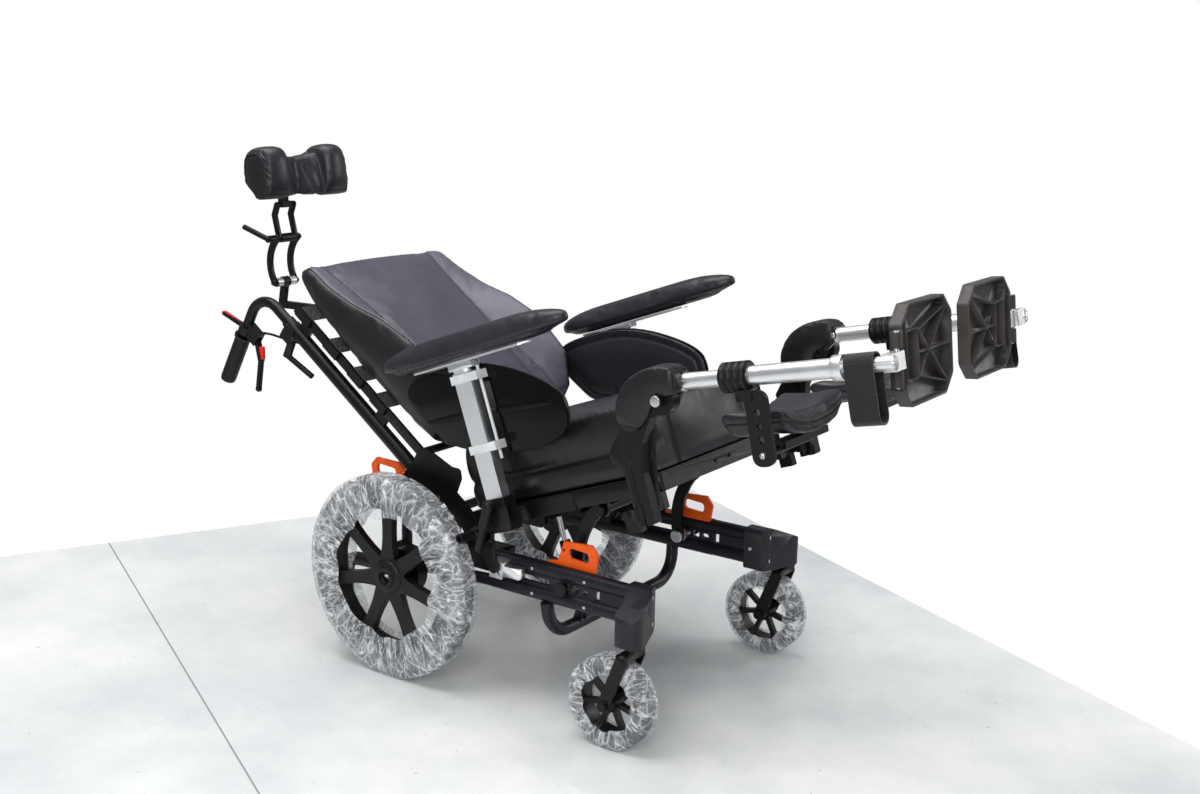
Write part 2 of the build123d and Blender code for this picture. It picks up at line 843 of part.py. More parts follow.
def strut_bracket():
    """Clevis on the cross tube for the gas spring."""
    clevis = None
    for inner in (strut_x - 10, strut_x + 6):
        cheek = side_slab(bar_outline(strut_low, (cross_forward, cross_up), 18.0), inner, inner + 4)
        clevis = cheek if clevis is None else clevis + cheek
    clevis += pin(strut_x - 10, strut_x + 10, strut_low, 4.0)
    return clevis - cross_tube()


# ---------------------------------------------------------------- seat frame
rail_inner_x = rail_outer_x - seat_rail_width


def seat_rails():
    """Box rails in two telescoping sections."""
    rear = block(
        (rail_inner_x, rail_outer_x),
        (seat_rail_rear, seat_rail_joint),
        (seat_rail_low, seat_rail_high),
    )
    front = block(
        (rail_inner_x + 1.5, rail_outer_x - 1.5),
        (seat_rail_joint, seat_front),
        (seat_rail_low + rail_step, seat_rail_high - 1),
    )
    rail = rear + front
    boss = pin(rail_inner_x - 4, rail_outer_x, (0, 0), hinge_boss_radius)
    rail = (rail + boss) - pin(rail_inner_x - 5, rail_outer_x + 1, (0, 0), hinge_bolt_radius + running_gap)
    return rail


def seat_crossmembers():
    """Front panel, rear tube, the lugs of the tilt link and the roller arms."""
    panel = block((-rail_inner_x, rail_inner_x), (seat_front - panel_thickness, seat_front),
                  (panel_low, seat_rail_high))
    for offset in (-26.0, 26.0):
        panel -= rod(spot(offset, seat_front + 1, 20), spot(offset, seat_front - 8, 20), 4.0)
    rear = pin(-rail_inner_x, rail_inner_x, rear_tube, 9.0)
    pieces = [panel, rear]
    lug_face = bar_outline(link_on_seat, (link_on_seat[0], seat_rail_high - 18), 34.0)
    lug_inner = link_x - link_thickness / 2 - 14
    lug = side_slab(lug_face, lug_inner, lug_inner + 8)
    lug_span = (link_on_seat[0] - 16, link_on_seat[0] + 16)
    lug += block((lug_inner, rail_inner_x), lug_span, (14, seat_rail_high - 1))
    lug -= pin(lug_inner - 1, rail_inner_x, link_on_seat, torsion_radius + running_gap)
    arm_inner = guide_x + roller_width / 2 + running_gap
    arm = side_slab(bar_outline(rear_tube, roller_spot, 18.0), arm_inner, arm_inner + roller_arm_thickness)
    arm += pin(guide_x - roller_width / 2, arm_inner + 1, roller_spot, roller_pin_radius)
    arm -= rear
    mount = block((strut_x - 11, strut_x - 7), (108, 142), (-14, seat_rail_high))
    mount += block((strut_x + 7, strut_x + 11), (108, 142), (-14, seat_rail_high))
    mount += block((strut_x - 11, strut_x + 11), (108, 142), (seat_rail_high - 4, seat_rail_high))
    pieces += [lug, mirrored(lug), arm, mirrored(arm), mount]
    return pieces


def seat_roller():
    """Roller on the guide."""
    half = roller_width / 2
    return pin(guide_x - half, guide_x + half, roller_spot, roller_radius) - pin(
        guide_x - half - 1, guide_x + half + 1, roller_spot, roller_pin_radius)


def seat_pan():
    return block((-rail_outer_x + 4, rail_outer_x - 4), (seat_rail_rear + 4, seat_front - 2),
                 (seat_rail_high, seat_rail_high + pan_thickness))


def seat_cushion():
    """Box cushion with a crowned top, drawn-in side seams and softened ends."""
    low = seat_rail_high + pan_thickness + seat_gap
    stations = [
        (cushion_rear, 14.0, 16.0),
        (cushion_rear + 14, 2.0, 3.0),
        (cushion_rear + 120, 0.0, 0.0),
        (seat_front - 100, 0.0, 0.0),
        (seat_front - 12, 1.0, 2.0),
        (seat_front, 9.0, 12.0),
    ]
    faces = []
    for forward, inset, drop in stations:
        half = cushion_half_width - inset
        top = cushion_top - drop
        edges = [
            Line((-half + 8, low), (half - 8, low)),
            ThreePointArc((half - 8, low), (half + 1, (low + crease_up) / 2), (half - 4, crease_up)),
            ThreePointArc((half - 4, crease_up), (half, (crease_up + top) / 2), (half - 6, top - 10)),
            ThreePointArc((half - 6, top - 10), (half - 10, top - 3), (half - 18, top)),
            ThreePointArc((half - 18, top), (0, top + cushion_crown), (-half + 18, top)),
            ThreePointArc((-half + 18, top), (-half + 10, top - 3), (-half + 6, top - 10)),
            ThreePointArc((-half + 6, top - 10), (-half, (crease_up + top) / 2), (-half + 4, crease_up)),
            ThreePointArc((-half + 4, crease_up), (-half - 1, (low + crease_up) / 2), (-half + 8, low)),
        ]
        faces.append(Plane(origin=(0, -forward, 0), x_dir=(1, 0, 0), z_dir=(0, -1, 0)) * make_face(edges))
    return lofted(faces)


def legrest_receiver():
    """Band clamp below the rail that the legrest post turns in."""
    low, high = receiver_range
    bore = hanger_post_radius + running_gap
    start = spot(-hanger_x, hanger_post_forward, low)
    end = spot(-hanger_x, hanger_post_forward, high)
    ring = rod(start, end, hanger_post_radius + 6)
    arm = block((rail_outer_x - 14, hanger_x - 2), (413, 439), (low + 3, high - 3))
    arm += block((rail_inner_x + 2, rail_outer_x - 2), (396, 442), (low + 1, seat_rail_low + rail_step))
    arm += block((262, 280), (398, 426), (-50, high - 5))
    clear = rod(start - Vector(0, 0, 5), end + Vector(0, 0, 5), bore)
    return ring + arm - clear


# ---------------------------------------------------------------- armrests
post_inner = post_x - post_width / 2
post_outer = post_x + post_width / 2
post_range = (post_forward - post_depth / 2, post_forward + post_depth / 2)


def armrest_post():
    """Aluminium box post."""
    post = block((post_inner, post_outer), post_range, (post_bottom, post_top))
    wall = post_wall
    return post - block((post_inner + wall, post_outer - wall), (post_range[0] + wall, post_range[1] - wall),
                        (post_bottom + wall, post_top + 1))


def armrest_socket():
    """Moulded socket that holds the post on the seat rail."""
    wall = socket_wall
    socket = block(
        (post_inner - wall, post_outer + wall),
        (post_range[0] - wall - 4, post_range[1] + wall),
        (socket_low, socket_high),
    )
    socket += block((rail_outer_x, post_inner - wall + 1), (post_range[0], post_range[1] + 20), (4, 32))
    socket += block((post_outer, post_outer + wall + 3), (post_forward - 6, post_forward + 30), (6, 40))
    return socket - block((post_inner, post_outer), post_range, (post_bottom, socket_high + 1))


guard_rod_x = post_x - 2


def post_clamps():
    """White clamps round the post, and the thin rod that they hold."""
    pieces = []
    bar = rod(spot(-guard_rod_x, post_range[1] + 13, 126), spot(-guard_rod_x, post_range[1] + 13, 302), 3.0)
    for level in clamp_levels:
        clamp = block((guard_x + seat_gap, post_outer + 4), (post_range[0] - 5, post_range[1] + 20),
                      (level - 8, level + 8))
        clamp -= block((post_inner, post_outer), post_range, (level - 9, level + 9))
        clamp -= bar
        pieces.append(clamp)
    return pieces + [bar]


def side_guard():
    """Moulded outer shell and padded inner face."""
    face = rounded(guard_outline, 10.0)
    shell = side_slab(face, guard_x - guard_shell, guard_x)
    ridge = rounded([(-30, 226), (270, 214), (270, 203), (-22, 214)], 4.0)
    shell += side_slab(ridge, guard_x - 1, guard_x + 2.5)
    padding = side_slab(offset(face, -5), guard_x - guard_shell - guard_pad, guard_x - guard_shell)
    return [shell, padding]


def armrest():
    """Pad, its plate and the stem that slides in the post."""
    top = post_top + 18
    wall = post_wall + running_gap
    stem = block(
        (post_inner + wall, post_outer - wall),
        (post_range[0] + wall, post_range[1] - wall),
        (top - stem_length, top),
    )
    stem += block((post_inner - 1, post_outer + 1), (post_range[0] - 6, post_range[1] + 12), (top - 12, top))
    plate = block((arm_pad_x - 34, arm_pad_x + 4), (14, 276), (top, top + arm_plate_thickness))
    low = top + arm_plate_thickness
    faces = []
    stations = [(0.0, 0.16, 0.5), (0.03, 0.45, 0.75), (0.12, 0.86, 0.96), (0.3, 1.0, 1.0), (0.7, 1.0, 1.0),
                (0.9, 0.88, 0.9), (0.97, 0.6, 0.66), (1.0, 0.2, 0.4)]
    length = arm_pad_front - arm_pad_rear
    for share, width, height in stations:
        half = arm_pad_width / 2 * width
        rise = arm_pad_height * height
        edges = [
            Line((-half * 0.8, low), (half * 0.8, low)),
            ThreePointArc((half * 0.8, low), (half, low + rise * 0.45), (half * 0.7, low + rise * 0.86)),
            ThreePointArc((half * 0.7, low + rise * 0.86), (0, low + rise), (-half * 0.7, low + rise * 0.86)),
            ThreePointArc((-half * 0.7, low + rise * 0.86), (-half, low + rise * 0.45), (-half * 0.8, low)),
        ]
        origin = (-arm_pad_x, -(arm_pad_rear + share * length), 0)
        faces.append(Plane(origin=origin, x_dir=(1, 0, 0), z_dir=(0, -1, 0)) * make_face(edges))
    return [stem + plate, lofted(faces)]


# ---------------------------------------------------------------- back
bracket_inner = rail_outer_x + 0.4
bracket_outer = guard_x - guard_shell - guard_pad - 0.6


def post_rod(low, high, radius):
    """Rod on the back post's axis."""
    return rod(spot(-back_x, sleeve_depth, low), spot(-back_x, sleeve_depth, high), radius)


def back_post():
    """Sleeve tube that the push handle slides in."""
    return pipe(spot(-back_x, sleeve_depth, sleeve_low), spot(-back_x, sleeve_depth, sleeve_high),
                sleeve_radius, sleeve_radius - sleeve_wall)


def back_bracket():
    """Side plate from the recline hinge to the collar round the sleeve."""
    plate = bar_outline((0, 0), (17, 156), 40.0)
    plate += rounded([(0, 70), (58, 84), (72, 98), (60, 116), (44, 186), (28, 196), (-10, 190)], 8.0)
    plate = side_slab(plate, bracket_inner, bracket_outer)
    collar = block((back_x - sleeve_radius - 2, bracket_outer), (sleeve_depth - sleeve_radius - 4, -4),
                   (sleeve_low, sleeve_low + 88))
    collar -= post_rod(sleeve_low - 1, sleeve_low + 90, sleeve_radius)
    bolt = pin(rail_inner_x - 4, bracket_outer, (0, 0), hinge_bolt_radius)
    head = pin(bracket_outer, bracket_outer + 4, (0, 0), 11.0)
    top_bolt = pin(bracket_outer, bracket_outer + 0.4, (17, 156), 9.0)
    return plate + collar + bolt + head + top_bolt


def back_frame():
    """Flat side rails on stand-offs, two cross tubes and the headrest receiver."""
    side = block((back_x - 1, back_x + 5), (0, 20), (back_bottom + 8, sleeve_high - 4))
    for level in (300.0, 560.0):
        side += block((back_x - 4, back_x + 5), (sleeve_depth + sleeve_radius - 4, 2), (level, level + 30))
    side -= post_rod(sleeve_low, sleeve_high, sleeve_radius)
    frame = side + mirrored(side)
    for level in (back_bottom + 20, sleeve_high - 16):
        frame += rod(spot(-back_x, 10, level), spot(back_x, 10, level), 8.0)
    angle = math.degrees(math.atan2(-headrest_slope[1], -headrest_slope[0]))
    sleeve = Pos(*headrest_clamp) * Rot(0, 0, angle) * RectangleRounded(48, 32, 4)
    bore = Pos(*headrest_clamp) * Rot(0, 0, angle) * Rectangle(60, headrest_bar_width + 0.6)
    receiver = side_slab(sleeve, -20, 20)
    receiver += block((-14, 14), (headrest_clamp[0] + 4, 10), (sleeve_high - 24, sleeve_high - 4))
    half = headrest_bar_thickness + 0.3
    receiver -= side_slab(bore, -half, half)
    knob = rod(spot(-20, *headrest_clamp), spot(-34, *headrest_clamp), 11.0)
    return frame + receiver + knob


def back_straps():
    """Tension straps in front of the side rails, each with a buckle."""
    straps = []
    for level in strap_levels:
        half = 20.0
        straps.append(block((-back_x - 4, back_x + 4), (20.2, 21.8), (level - half, level + half)))
        for side in (-1, 1):
            centre = side * (back_x + 8)
            straps.append(block((centre - 2.5, centre + 2.5), (2, 21.8), (level - half - 2, level + half + 2)))
    return straps


def back_section(level, front, back, half):
    """A cross section: flat back, winged sides and a hollowed front face."""
    valley = min(108.0, front - 2)
    rear = strap_front + seat_gap
    crest = half - 24
    side_front = back + (front - back) * 0.7
    edges = [
        Line((-half * 0.66, rear), (half * 0.66, rear)),
        Line((half * 0.66, rear), (half * 0.93, back)),
        ThreePointArc((half * 0.93, back), (half, (back + side_front) / 2), (half - 4, side_front)),
        ThreePointArc((half - 4, side_front), (half - 10, front - 6), (crest, front)),
        ThreePointArc((crest, front), ((crest + 118) / 2, (front + valley) / 2 - 4), (118, valley)),
        ThreePointArc((118, valley), (0, valley + back_crown), (-118, valley)),
        ThreePointArc((-118, valley), (-(crest + 118) / 2, (front + valley) / 2 - 4), (-crest, front)),
        ThreePointArc((-crest, front), (-half + 10, front - 6), (-half + 4, side_front)),
        ThreePointArc((-half + 4, side_front), (-half, (back + side_front) / 2), (-half * 0.93, back)),
        Line((-half * 0.93, back), (-half * 0.66, rear)),
    ]
    plane = Plane(origin=(0, 0, level), x_dir=(-1, 0, 0), z_dir=(0, 0, 1))
    return plane * make_face(edges)


def back_cushion():
    """Contoured cushion with wings that stand forward at the sides."""
    faces = [back_section(*station) for station in back_stations]
    return lofted(faces)


def push_handle():
    """Inner tube bent to a rearward grip, with the brake lever's mount and clamp levers."""
    corner = (sleeve_depth, handle_top)
    points = [spot(-back_x, sleeve_depth, sleeve_high - 190), spot(-back_x, *corner),
              spot(-back_x, *handle_end)]
    tube = bent_tube(points, [handle_bend], handle_radius)
    line = (points[2] - points[1]).normalized()
    grip_line = (grip_start - corner[0]) / (handle_end[0] - corner[0])
    grip_from = points[1] + (points[2] - points[1]) * grip_line
    grip = pipe(grip_from, points[2], grip_radius, handle_radius)
    grip += rod(points[2], points[2] + line * 5, grip_radius - 1)
    grip += pipe(grip_from, grip_from + line * 5, grip_radius + 3, handle_radius)
    mount_at = grip_from - line * 24
    mount = pipe(mount_at, mount_at + line * 18, handle_radius + 5, handle_radius)
    housing = block((back_x - 9, back_x + 9), (-142, -112), (668, 708))
    mount += housing - rod(points[1], points[2], handle_radius)
    mount -= block((back_x - 5.5, back_x + 5.5), (-150, -118), (654, 682))
    mount += pin(back_x - 9, back_x + 9, brake_pivot, 3.0)
    release_foot = (-mount_at.Y - 8, mount_at.Z + 10)
    release = side_slab(bar_outline(release_foot, release_tip, 9.0), back_x - 4, back_x + 4)
    return [tube, grip, largest(mount - grip), largest(release - tube - mount)]


def brake_lever():
    """Bent lever blade with a ball end."""
    knee = (-158.0, 640.0)
    blade = bar_outline(brake_pivot, knee, 11.0) + bar_outline(knee, brake_tip, 8.0)
    blade = side_slab(blade, back_x - 5, back_x + 5)
    blade += Pos(spot(-back_x, *brake_tip)) * Sphere(7.0)
    return blade - pin(back_x - 10, back_x + 10, brake_pivot, 3.0 + running_gap)


def post_clamp_lever():
    """Clamp block on the sleeve with its hand lever, for the handle height."""
    level = 601.0
    ring = block((back_x - sleeve_radius - 4, back_x + sleeve_radius + 4),
                 (sleeve_depth - sleeve_radius - 14, sleeve_depth + 6), (level - 14, level + 14))
    ring -= post_rod(level - 20, level + 20, sleeve_radius)
    lever = rod(spot(-back_x, sleeve_depth - sleeve_radius - 12, level - 8), spot(-back_x, -96, 586), 9.0)
    lever += rod(spot(-back_x, -94, 586), spot(-back_x, -80, 508), 6.0)
    return ring + lever


# ---------------------------------------------------------------- headrest
def headrest_bar():
    """Flat bar that slides in the receiver, with the hub of the lower joint."""
    corner = (headrest_lower[0] - 49, headrest_lower[1] - 23)
    end = (headrest_clamp[0] + 80 * headrest_slope[0], headrest_clamp[1] + 80 * headrest_slope[1])
    shape = bar_outline(corner, end, headrest_bar_width)
    shape += bar_outline(headrest_lower, corner, headrest_bar_width)
    bar = side_slab(shape, -headrest_bar_thickness, headrest_bar_thickness)
    hub = side_slab(Pos(*headrest_lower) * Circle(12), -8, 8)
    return bar + hub - pin(-9, 9, headrest_lower, joint_pin_radius + running_gap)


def bar_pair(shape):
    """Two flat bars either side of the middle."""
    inner = headrest_bar_x - headrest_bar_thickness / 2
    outer = headrest_bar_x + headrest_bar_thickness / 2
    return side_slab(shape, inner, outer) + side_slab(shape, -outer, -inner)


def headrest_middle_bars():
    """Curved pair of bars with both joint pins and the lower spacers."""
    inner = headrest_bar_x - headrest_bar_thickness / 2
    bars = bar_pair(curved_bar(headrest_lower, (-98, 872), headrest_upper, headrest_bar_width))
    for joint in (headrest_lower, headrest_upper):
        bars += pin(-headrest_bar_x - 8, headrest_bar_x + 8, joint, joint_pin_radius)
    for side in (-1, 1):
        bars += pin(side * (8 + running_gap), side * (inner + 0.5), headrest_lower, 10.0)
    lever = rod(spot(-headrest_bar_x - 6, *headrest_upper), spot(-headrest_bar_x - 26, *headrest_upper), 8.0)
    lever += rod(spot(-60, headrest_upper[0] + 4, headrest_upper[1] - 6), spot(-60, -70, 952), 6.0)
    lever += rod(spot(-headrest_bar_x - 20, *headrest_upper), spot(-60, *headrest_upper), 7.0)
    return bars + lever


def headrest_upper_bars():
    """Inner pair of bars up to the pad joint."""
    outer = headrest_bar_x - headrest_bar_thickness / 2 - running_gap
    inner = outer - headrest_bar_thickness
    elbow = (headrest_top[0] - 24, headrest_top[1] - 6)
    shape = bar_outline(headrest_upper, elbow, 14.0) + bar_outline(elbow, headrest_top, 14.0)
    bars = side_slab(shape, inner, outer) + side_slab(shape, -outer, -inner)
    bars += pin(-inner - 0.5, inner + 0.5, headrest_upper, 10.0)
    bars += pin(-inner - 0.5, inner + 0.5, headrest_top, 4.0)
    return bars - pin(-outer - 1, outer + 1, headrest_upper, joint_pin_radius + running_gap)


def chassis_point(point):
    """A back-frame point given in the chassis, with the seat and back at rest."""
    on_seat = rotated(point, recline_rest)
    on_chassis = rotated(on_seat, tilt_rest)
    return (hinge_forward + on_chassis[0], hinge_up + on_chassis[1])


def pad_section(x, forward, up, half_depth, half_height):
    """An egg-shaped cross section of the head pad, upright as the pad is worn."""
    left = (forward - half_depth, up)
    right = (forward + half_depth, up + half_height * 0.1)
    top = (forward - half_depth * 0.1, up + half_height)
    bottom = (forward, up - half_height)
    bulge = 0.74

    def corner(first, second):
        across = first[0] if abs(first[0] - forward) > abs(second[0] - forward) else second[0]
        rise = first[1] if abs(first[1] - up) > abs(second[1] - up) else second[1]
        return (forward + (across - forward) * bulge, up + (rise - up) * bulge)

    stops = [left, top, right, bottom, left]
    edges = [ThreePointArc(a, corner(a, b), b) for a, b in zip(stops, stops[1:])]
    return side_plane(x) * make_face(edges)


def headrest_pad():
    """Two-lobed pad, given upright in the chassis, with its carrier bracket."""
    pivot = chassis_point(headrest_top)
    centre = (pivot[0] + 44, pivot[1] + 76)
    half = headrest_half_width
    stations = [(1.0, 8, 14), (0.93, 26, 40), (0.78, 44, 58), (0.58, 50, 62), (0.36, 46, 60), (0.2, 36, 56),
                (0.0, 30, 54)]
    faces = []
    for share, depth, height in stations:
        faces.append(pad_section(-share * half, centre[0] - (50 - depth) * 0.5, centre[1], depth, height))
    for share, depth, height in reversed(stations[:-1]):
        faces.append(pad_section(share * half, centre[0] - (50 - depth) * 0.5, centre[1], depth, height))
    pad = lofted(faces)
    plate_x = pivot[0] - 4
    plate = block((-36, 36), (plate_x - 4, plate_x), (pivot[1] + 34, pivot[1] + 100))
    plate += block((-14, 14), (plate_x - 4, pivot[0] + 6), (pivot[1] - 6, pivot[1] + 8))
    plate += block((-14, 14), (plate_x - 4, plate_x), (pivot[1] - 6, pivot[1] + 40))
    plate -= pin(-30, 30, pivot, 4.0 + running_gap)
    return [pad - plate, plate]


# ---------------------------------------------------------------- legrests
def leg_rod(start, end, radius):
    """Rod on the leg tube's axis."""
    return rod(spot(-leg_x, start, leg_axis_up), spot(-leg_x, end, leg_axis_up), radius)


hanger_inner = hanger_x - hanger_thickness / 2
hanger_outer = hanger_x + hanger_thickness / 2
knee = (knee_forward, knee_up)
hanger_outline = [(474, hanger_low), (478, 50), (490, 98), (520, 136), (560, 140), (572, 160), (560, 188),
                  (520, 194), (480, 170), (452, 128), (420, 96), (420, 74), (456, 70), (456, hanger_low)]


def hanger():
    """Curved casting with the post that turns in the receiver, and the knee bolt."""
    frame = side_slab(rounded(hanger_outline, 5.0), hanger_inner, hanger_outer)
    frame += side_slab(Pos(*knee) * Circle(26), hanger_inner, hanger_outer)
    low = spot(-hanger_x, hanger_post_forward, hanger_low)
    clear = spot(-hanger_x, hanger_post_forward, receiver_range[1] + 2)
    frame -= rod(low - Vector(0, 0, 1), clear, hanger_post_radius + 6 + 2 * running_gap)
    frame += rod(low, spot(-hanger_x, hanger_post_forward, 84), hanger_post_radius)
    strip = curved_bar((500, 120), (482, 70), (470, -14), 12.0)
    frame += side_slab(strip, hanger_inner - 12, hanger_inner)
    return frame - knee_bolt()


def knee_bolt():
    bolt = pin(leg_x - 15, hanger_outer + 14, knee, 8.0)
    return bolt + pin(hanger_outer, hanger_outer + 14, knee, 11.0)


cover_outline = [(458, 146), (466, 180), (498, 208), (545, 217), (588, 208), (596, 190), (586, 168), (562, 176),
                 (535, 164), (516, 146), (488, 126), (470, 130)]


def knee_cover():
    """Padded cover over the knee joint, open at the front for the leg tube."""
    shell = side_slab(rounded(cover_outline, 6.0), cover_inner, cover_outer)
    hollow = side_slab(Pos(*knee) * Circle(46), cover_inner + cover_wall, hanger_outer + 1)
    sweep_top = (knee[0] + 90 * math.cos(math.radians(60)), knee[1] + 90 * math.sin(math.radians(60)))
    front = polygon([knee, sweep_top, (knee[0] + 90, sweep_top[1]), (knee[0] + 90, 60), (knee[0], 60)])
    hollow += side_slab(front, cover_inner + cover_wall, hanger_outer + 1)
    shell -= hollow
    shell -= side_slab(offset(rounded(hanger_outline, 5.0), running_gap), hanger_inner - 1, hanger_outer + 1)
    return largest(shell - knee_bolt() - hanger())


def leg_tube():
    """Knuckle, two-step tube, collar and the clamp that carries the calf plate."""
    knuckle_outer = hanger_inner - running_gap
    knuckle = side_slab(Pos(0, 0) * Circle(17), knuckle_outer - 16, knuckle_outer)
    cheek = bar_outline((0, 0), (leg_tube_start - 2, leg_axis_up), 26.0)
    knuckle += side_slab(cheek, knuckle_outer - 16, knuckle_outer)
    knuckle += leg_rod(leg_tube_start - 8, leg_tube_start + 4, leg_tube_radius)
    knuckle -= pin(leg_x - 16, hanger_inner + 1, (0, 0), 8.0 + running_gap)
    tube = leg_rod(leg_tube_start, leg_neck_end, leg_neck_radius)
    tube += leg_rod(leg_neck_end, leg_tube_end, leg_tube_radius)
    tube += leg_rod(leg_tube_end - 3, leg_tube_end + 15, leg_tube_radius + 4)
    tube -= leg_rod(foot_tube_start - 15, leg_tube_end + 20, foot_tube_radius + running_gap)
    clamp = leg_rod(calf_clamp_start, calf_clamp_end, clamp_radius - 3)
    pitch = (calf_clamp_end - calf_clamp_start) / clamp_ribs
    for number in range(clamp_ribs):
        start = calf_clamp_start + pitch * (number + 0.2)
        clamp += leg_rod(start, start + pitch * 0.6, clamp_radius)
    clamp += block((leg_x - 8, calf_plate_outer + 3), (calf_clamp_end - 24, calf_clamp_end + 4), (-14, 4))
    clamp -= leg_rod(calf_clamp_start - 1, calf_clamp_end + 8, leg_tube_radius)
    plate_face = Pos(calf_bolt[0], -60) * RectangleRounded(40, 122, 16)
    for level in (-34.0, -56.0, -78.0):
        plate_face -= Pos(calf_bolt[0], level) * Circle(5.5)
    plate = side_slab(plate_face, calf_plate_inner, calf_plate_outer)
    bolt = pin(calf_plate_inner - 12, calf_plate_outer + 4, calf_bolt, 5.0)
    return [knuckle + tube, clamp - knuckle, plate - bolt - clamp, bolt]


def calf_section(x, half, thickness, sag):
    """A kidney section of the calf pad: s along the leg, n across it."""
    middle = calf_middle
    top = -28.0 - sag
    low = top - thickness
    level = (top + low) / 2
    nose = 12.0
    edges = [
        ThreePointArc((middle - half + nose, top), (middle, top - 3 - sag * 0.3), (middle + half - nose, top)),
        ThreePointArc((middle + half - nose, top), (middle + half, level), (middle + half - nose, low)),
        ThreePointArc((middle + half - nose, low), (middle, low + 3), (middle - half + nose, low)),
        ThreePointArc((middle - half + nose, low), (middle - half, level), (middle - half + nose, top)),
    ]
    return side_plane(-x) * make_face(edges)


def calf_pad():
    """Hollowed pad that lies behind the calf, with the arm that hangs it on the plate."""
    middle = (calf_inner + calf_outer) / 2
    reach = (calf_outer - calf_inner) / 2
    faces = []
    for share in (-1.0, -0.92, -0.7, -0.35, 0.0, 0.35, 0.7, 0.92, 1.0):
        bow = 1 - share * share
        end = 0.45 if abs(share) == 1.0 else 0.8 if abs(share) > 0.9 else 1.0
        half = 68 * (0.8 + 0.2 * end)
        faces.append(calf_section(middle + share * reach, half, 42 * end, 21 * bow + (1 - end) * 12))
    pad = lofted(faces)
    bar = pin(middle - 30, calf_plate_inner - 1 - running_gap, (calf_bolt[0], calf_bolt[1]), 6.0)
    ear = pin(calf_plate_inner - 8, calf_plate_inner - 1, calf_bolt, 16.0)
    back = block((middle - 60, middle + 90), (calf_bolt[0] - 16, calf_bolt[0] + 16),
                 (calf_bolt[1] + 1, calf_back_top))
    arm = bar + ear + back - pin(calf_plate_inner - 14, calf_plate_inner, calf_bolt, 5.0 + running_gap)
    return [pad - arm, largest(arm)]


foot_place = Location(spot(0, foot_hinge_forward, leg_axis_up), (foot_tilt, 0, 0))


def foot_tube():
    """Sliding tube with the heel strap and the footplate's hinge block."""
    tube = leg_rod(foot_tube_start, foot_tube_end, foot_tube_radius)
    outer_loop = Pos(leg_x, leg_axis_up - 36) * Rot(0, 0, 90)
    outer_loop *= SlotOverall(strap_loop_height, strap_loop_width)
    inner_loop = offset(outer_loop, -strap_thickness)
    strap = front_slab(outer_loop - inner_loop, strap_range[0], strap_range[1])
    hinge = block(
        (foot_hinge_x, leg_x),
        (foot_hinge_forward - 6, foot_tube_end),
        (leg_axis_up - 14, leg_axis_up + 14),
    )
    knuckle = rod(spot(-foot_hinge_x, 0, -14), spot(-foot_hinge_x, 0, 14), 8.5)
    knuckle += rod(spot(-foot_hinge_x, 0, -44), spot(-foot_hinge_x, 0, 44), 4.0)
    hinge += foot_place * knuckle
    latch = block(
        (leg_x - 30, leg_x - 8),
        (foot_tube_end - 40, foot_tube_end - 18),
        (leg_axis_up - 10, leg_axis_up + 8),
    )
    return [tube, strap - tube, hinge - tube, latch - tube - hinge]


def footplate():
    """Ribbed tray, open to the front, with hinge knuckles at its outer edge."""
    back = -16.0
    front = back + plate_depth
    half = plate_half_height
    cut = 30.0
    outline = [(plate_inner_x, -half + cut), (plate_inner_x + cut, -half), (plate_outer_x - cut, -half),
               (plate_outer_x, -half + cut), (plate_outer_x, half - cut), (plate_outer_x - cut, half),
               (plate_inner_x + cut, half), (plate_inner_x, half - cut)]
    face = rounded(outline, 10.0)
    tray = front_slab(face, back, front)
    tray -= front_slab(offset(face, -plate_rim), back + plate_skin, front + 1)
    centre_x = plate_outer_x - 46
    frame = Pos(centre_x, 0) * RectangleRounded(45, 80, 6)
    ribs = frame - offset(frame, -rib_thickness)
    for end_x in (plate_inner_x + 16, plate_outer_x - 17):
        for end_up in (-63.0, 63.0):
            ribs += Pos(end_x, end_up) * Circle(7)
            ribs += bar_outline((centre_x + (-22 if end_x < centre_x else 22), math.copysign(36, end_up)),
                                (end_x, end_up), rib_thickness)
    reach = centre_x - 22 - plate_inner_x
    ribs += Pos(plate_inner_x + reach / 2, 0) * Rectangle(reach, rib_thickness)
    ribs += bar_outline((plate_inner_x + 16, -63), (centre_x - 22, 36), rib_thickness)
    ribs += bar_outline((plate_inner_x + 16, 63), (centre_x - 22, -36), rib_thickness)
    ribs = ribs & face
    tray += front_slab(ribs, back + plate_skin - 1, front - 2)
    for side in (-1, 1):
        low = side * 30 - 12
        knuckle = rod(spot(-foot_hinge_x, 0, low), spot(-foot_hinge_x, 0, low + 24), 9.0)
        knuckle += block((plate_outer_x - 6, foot_hinge_x), (-9, 4), (low, low + 24))
        tray += knuckle
    return tray - rod(spot(-foot_hinge_x, 0, -50), spot(-foot_hinge_x, 0, 50), 4.0 + running_gap)


# ---------------------------------------------------------------- brake cables
cable_radius = 2.5
cable_points = [(11.2, -126.0, 690.0), (34.0, -122.0, 676.0), (40.0, -98.0, 628.0), (34.0, -66.0, 582.0),
                (24.0, -54.0, 524.0), (20.0, -50.5, 464.0), (18.5, -49.5, 404.0)]


def brake_cable():
    """Sheathed cable from the brake lever down behind the sleeve, as (inboard, forward, up) points."""
    points = [spot(-back_x + inboard, forward, up) for inboard, forward, up in cable_points]
    runs = [b - a for a, b in zip(points, points[1:])]
    bends = []
    for first, second in zip(runs, runs[1:]):
        turn = math.radians(first.get_angle(second))
        bends.append(0.45 * min(first.length, second.length) / math.tan(turn / 2))
    print("cable bends", [round(bend) for bend in bends])
    return bent_tube(points, bends, cable_radius)


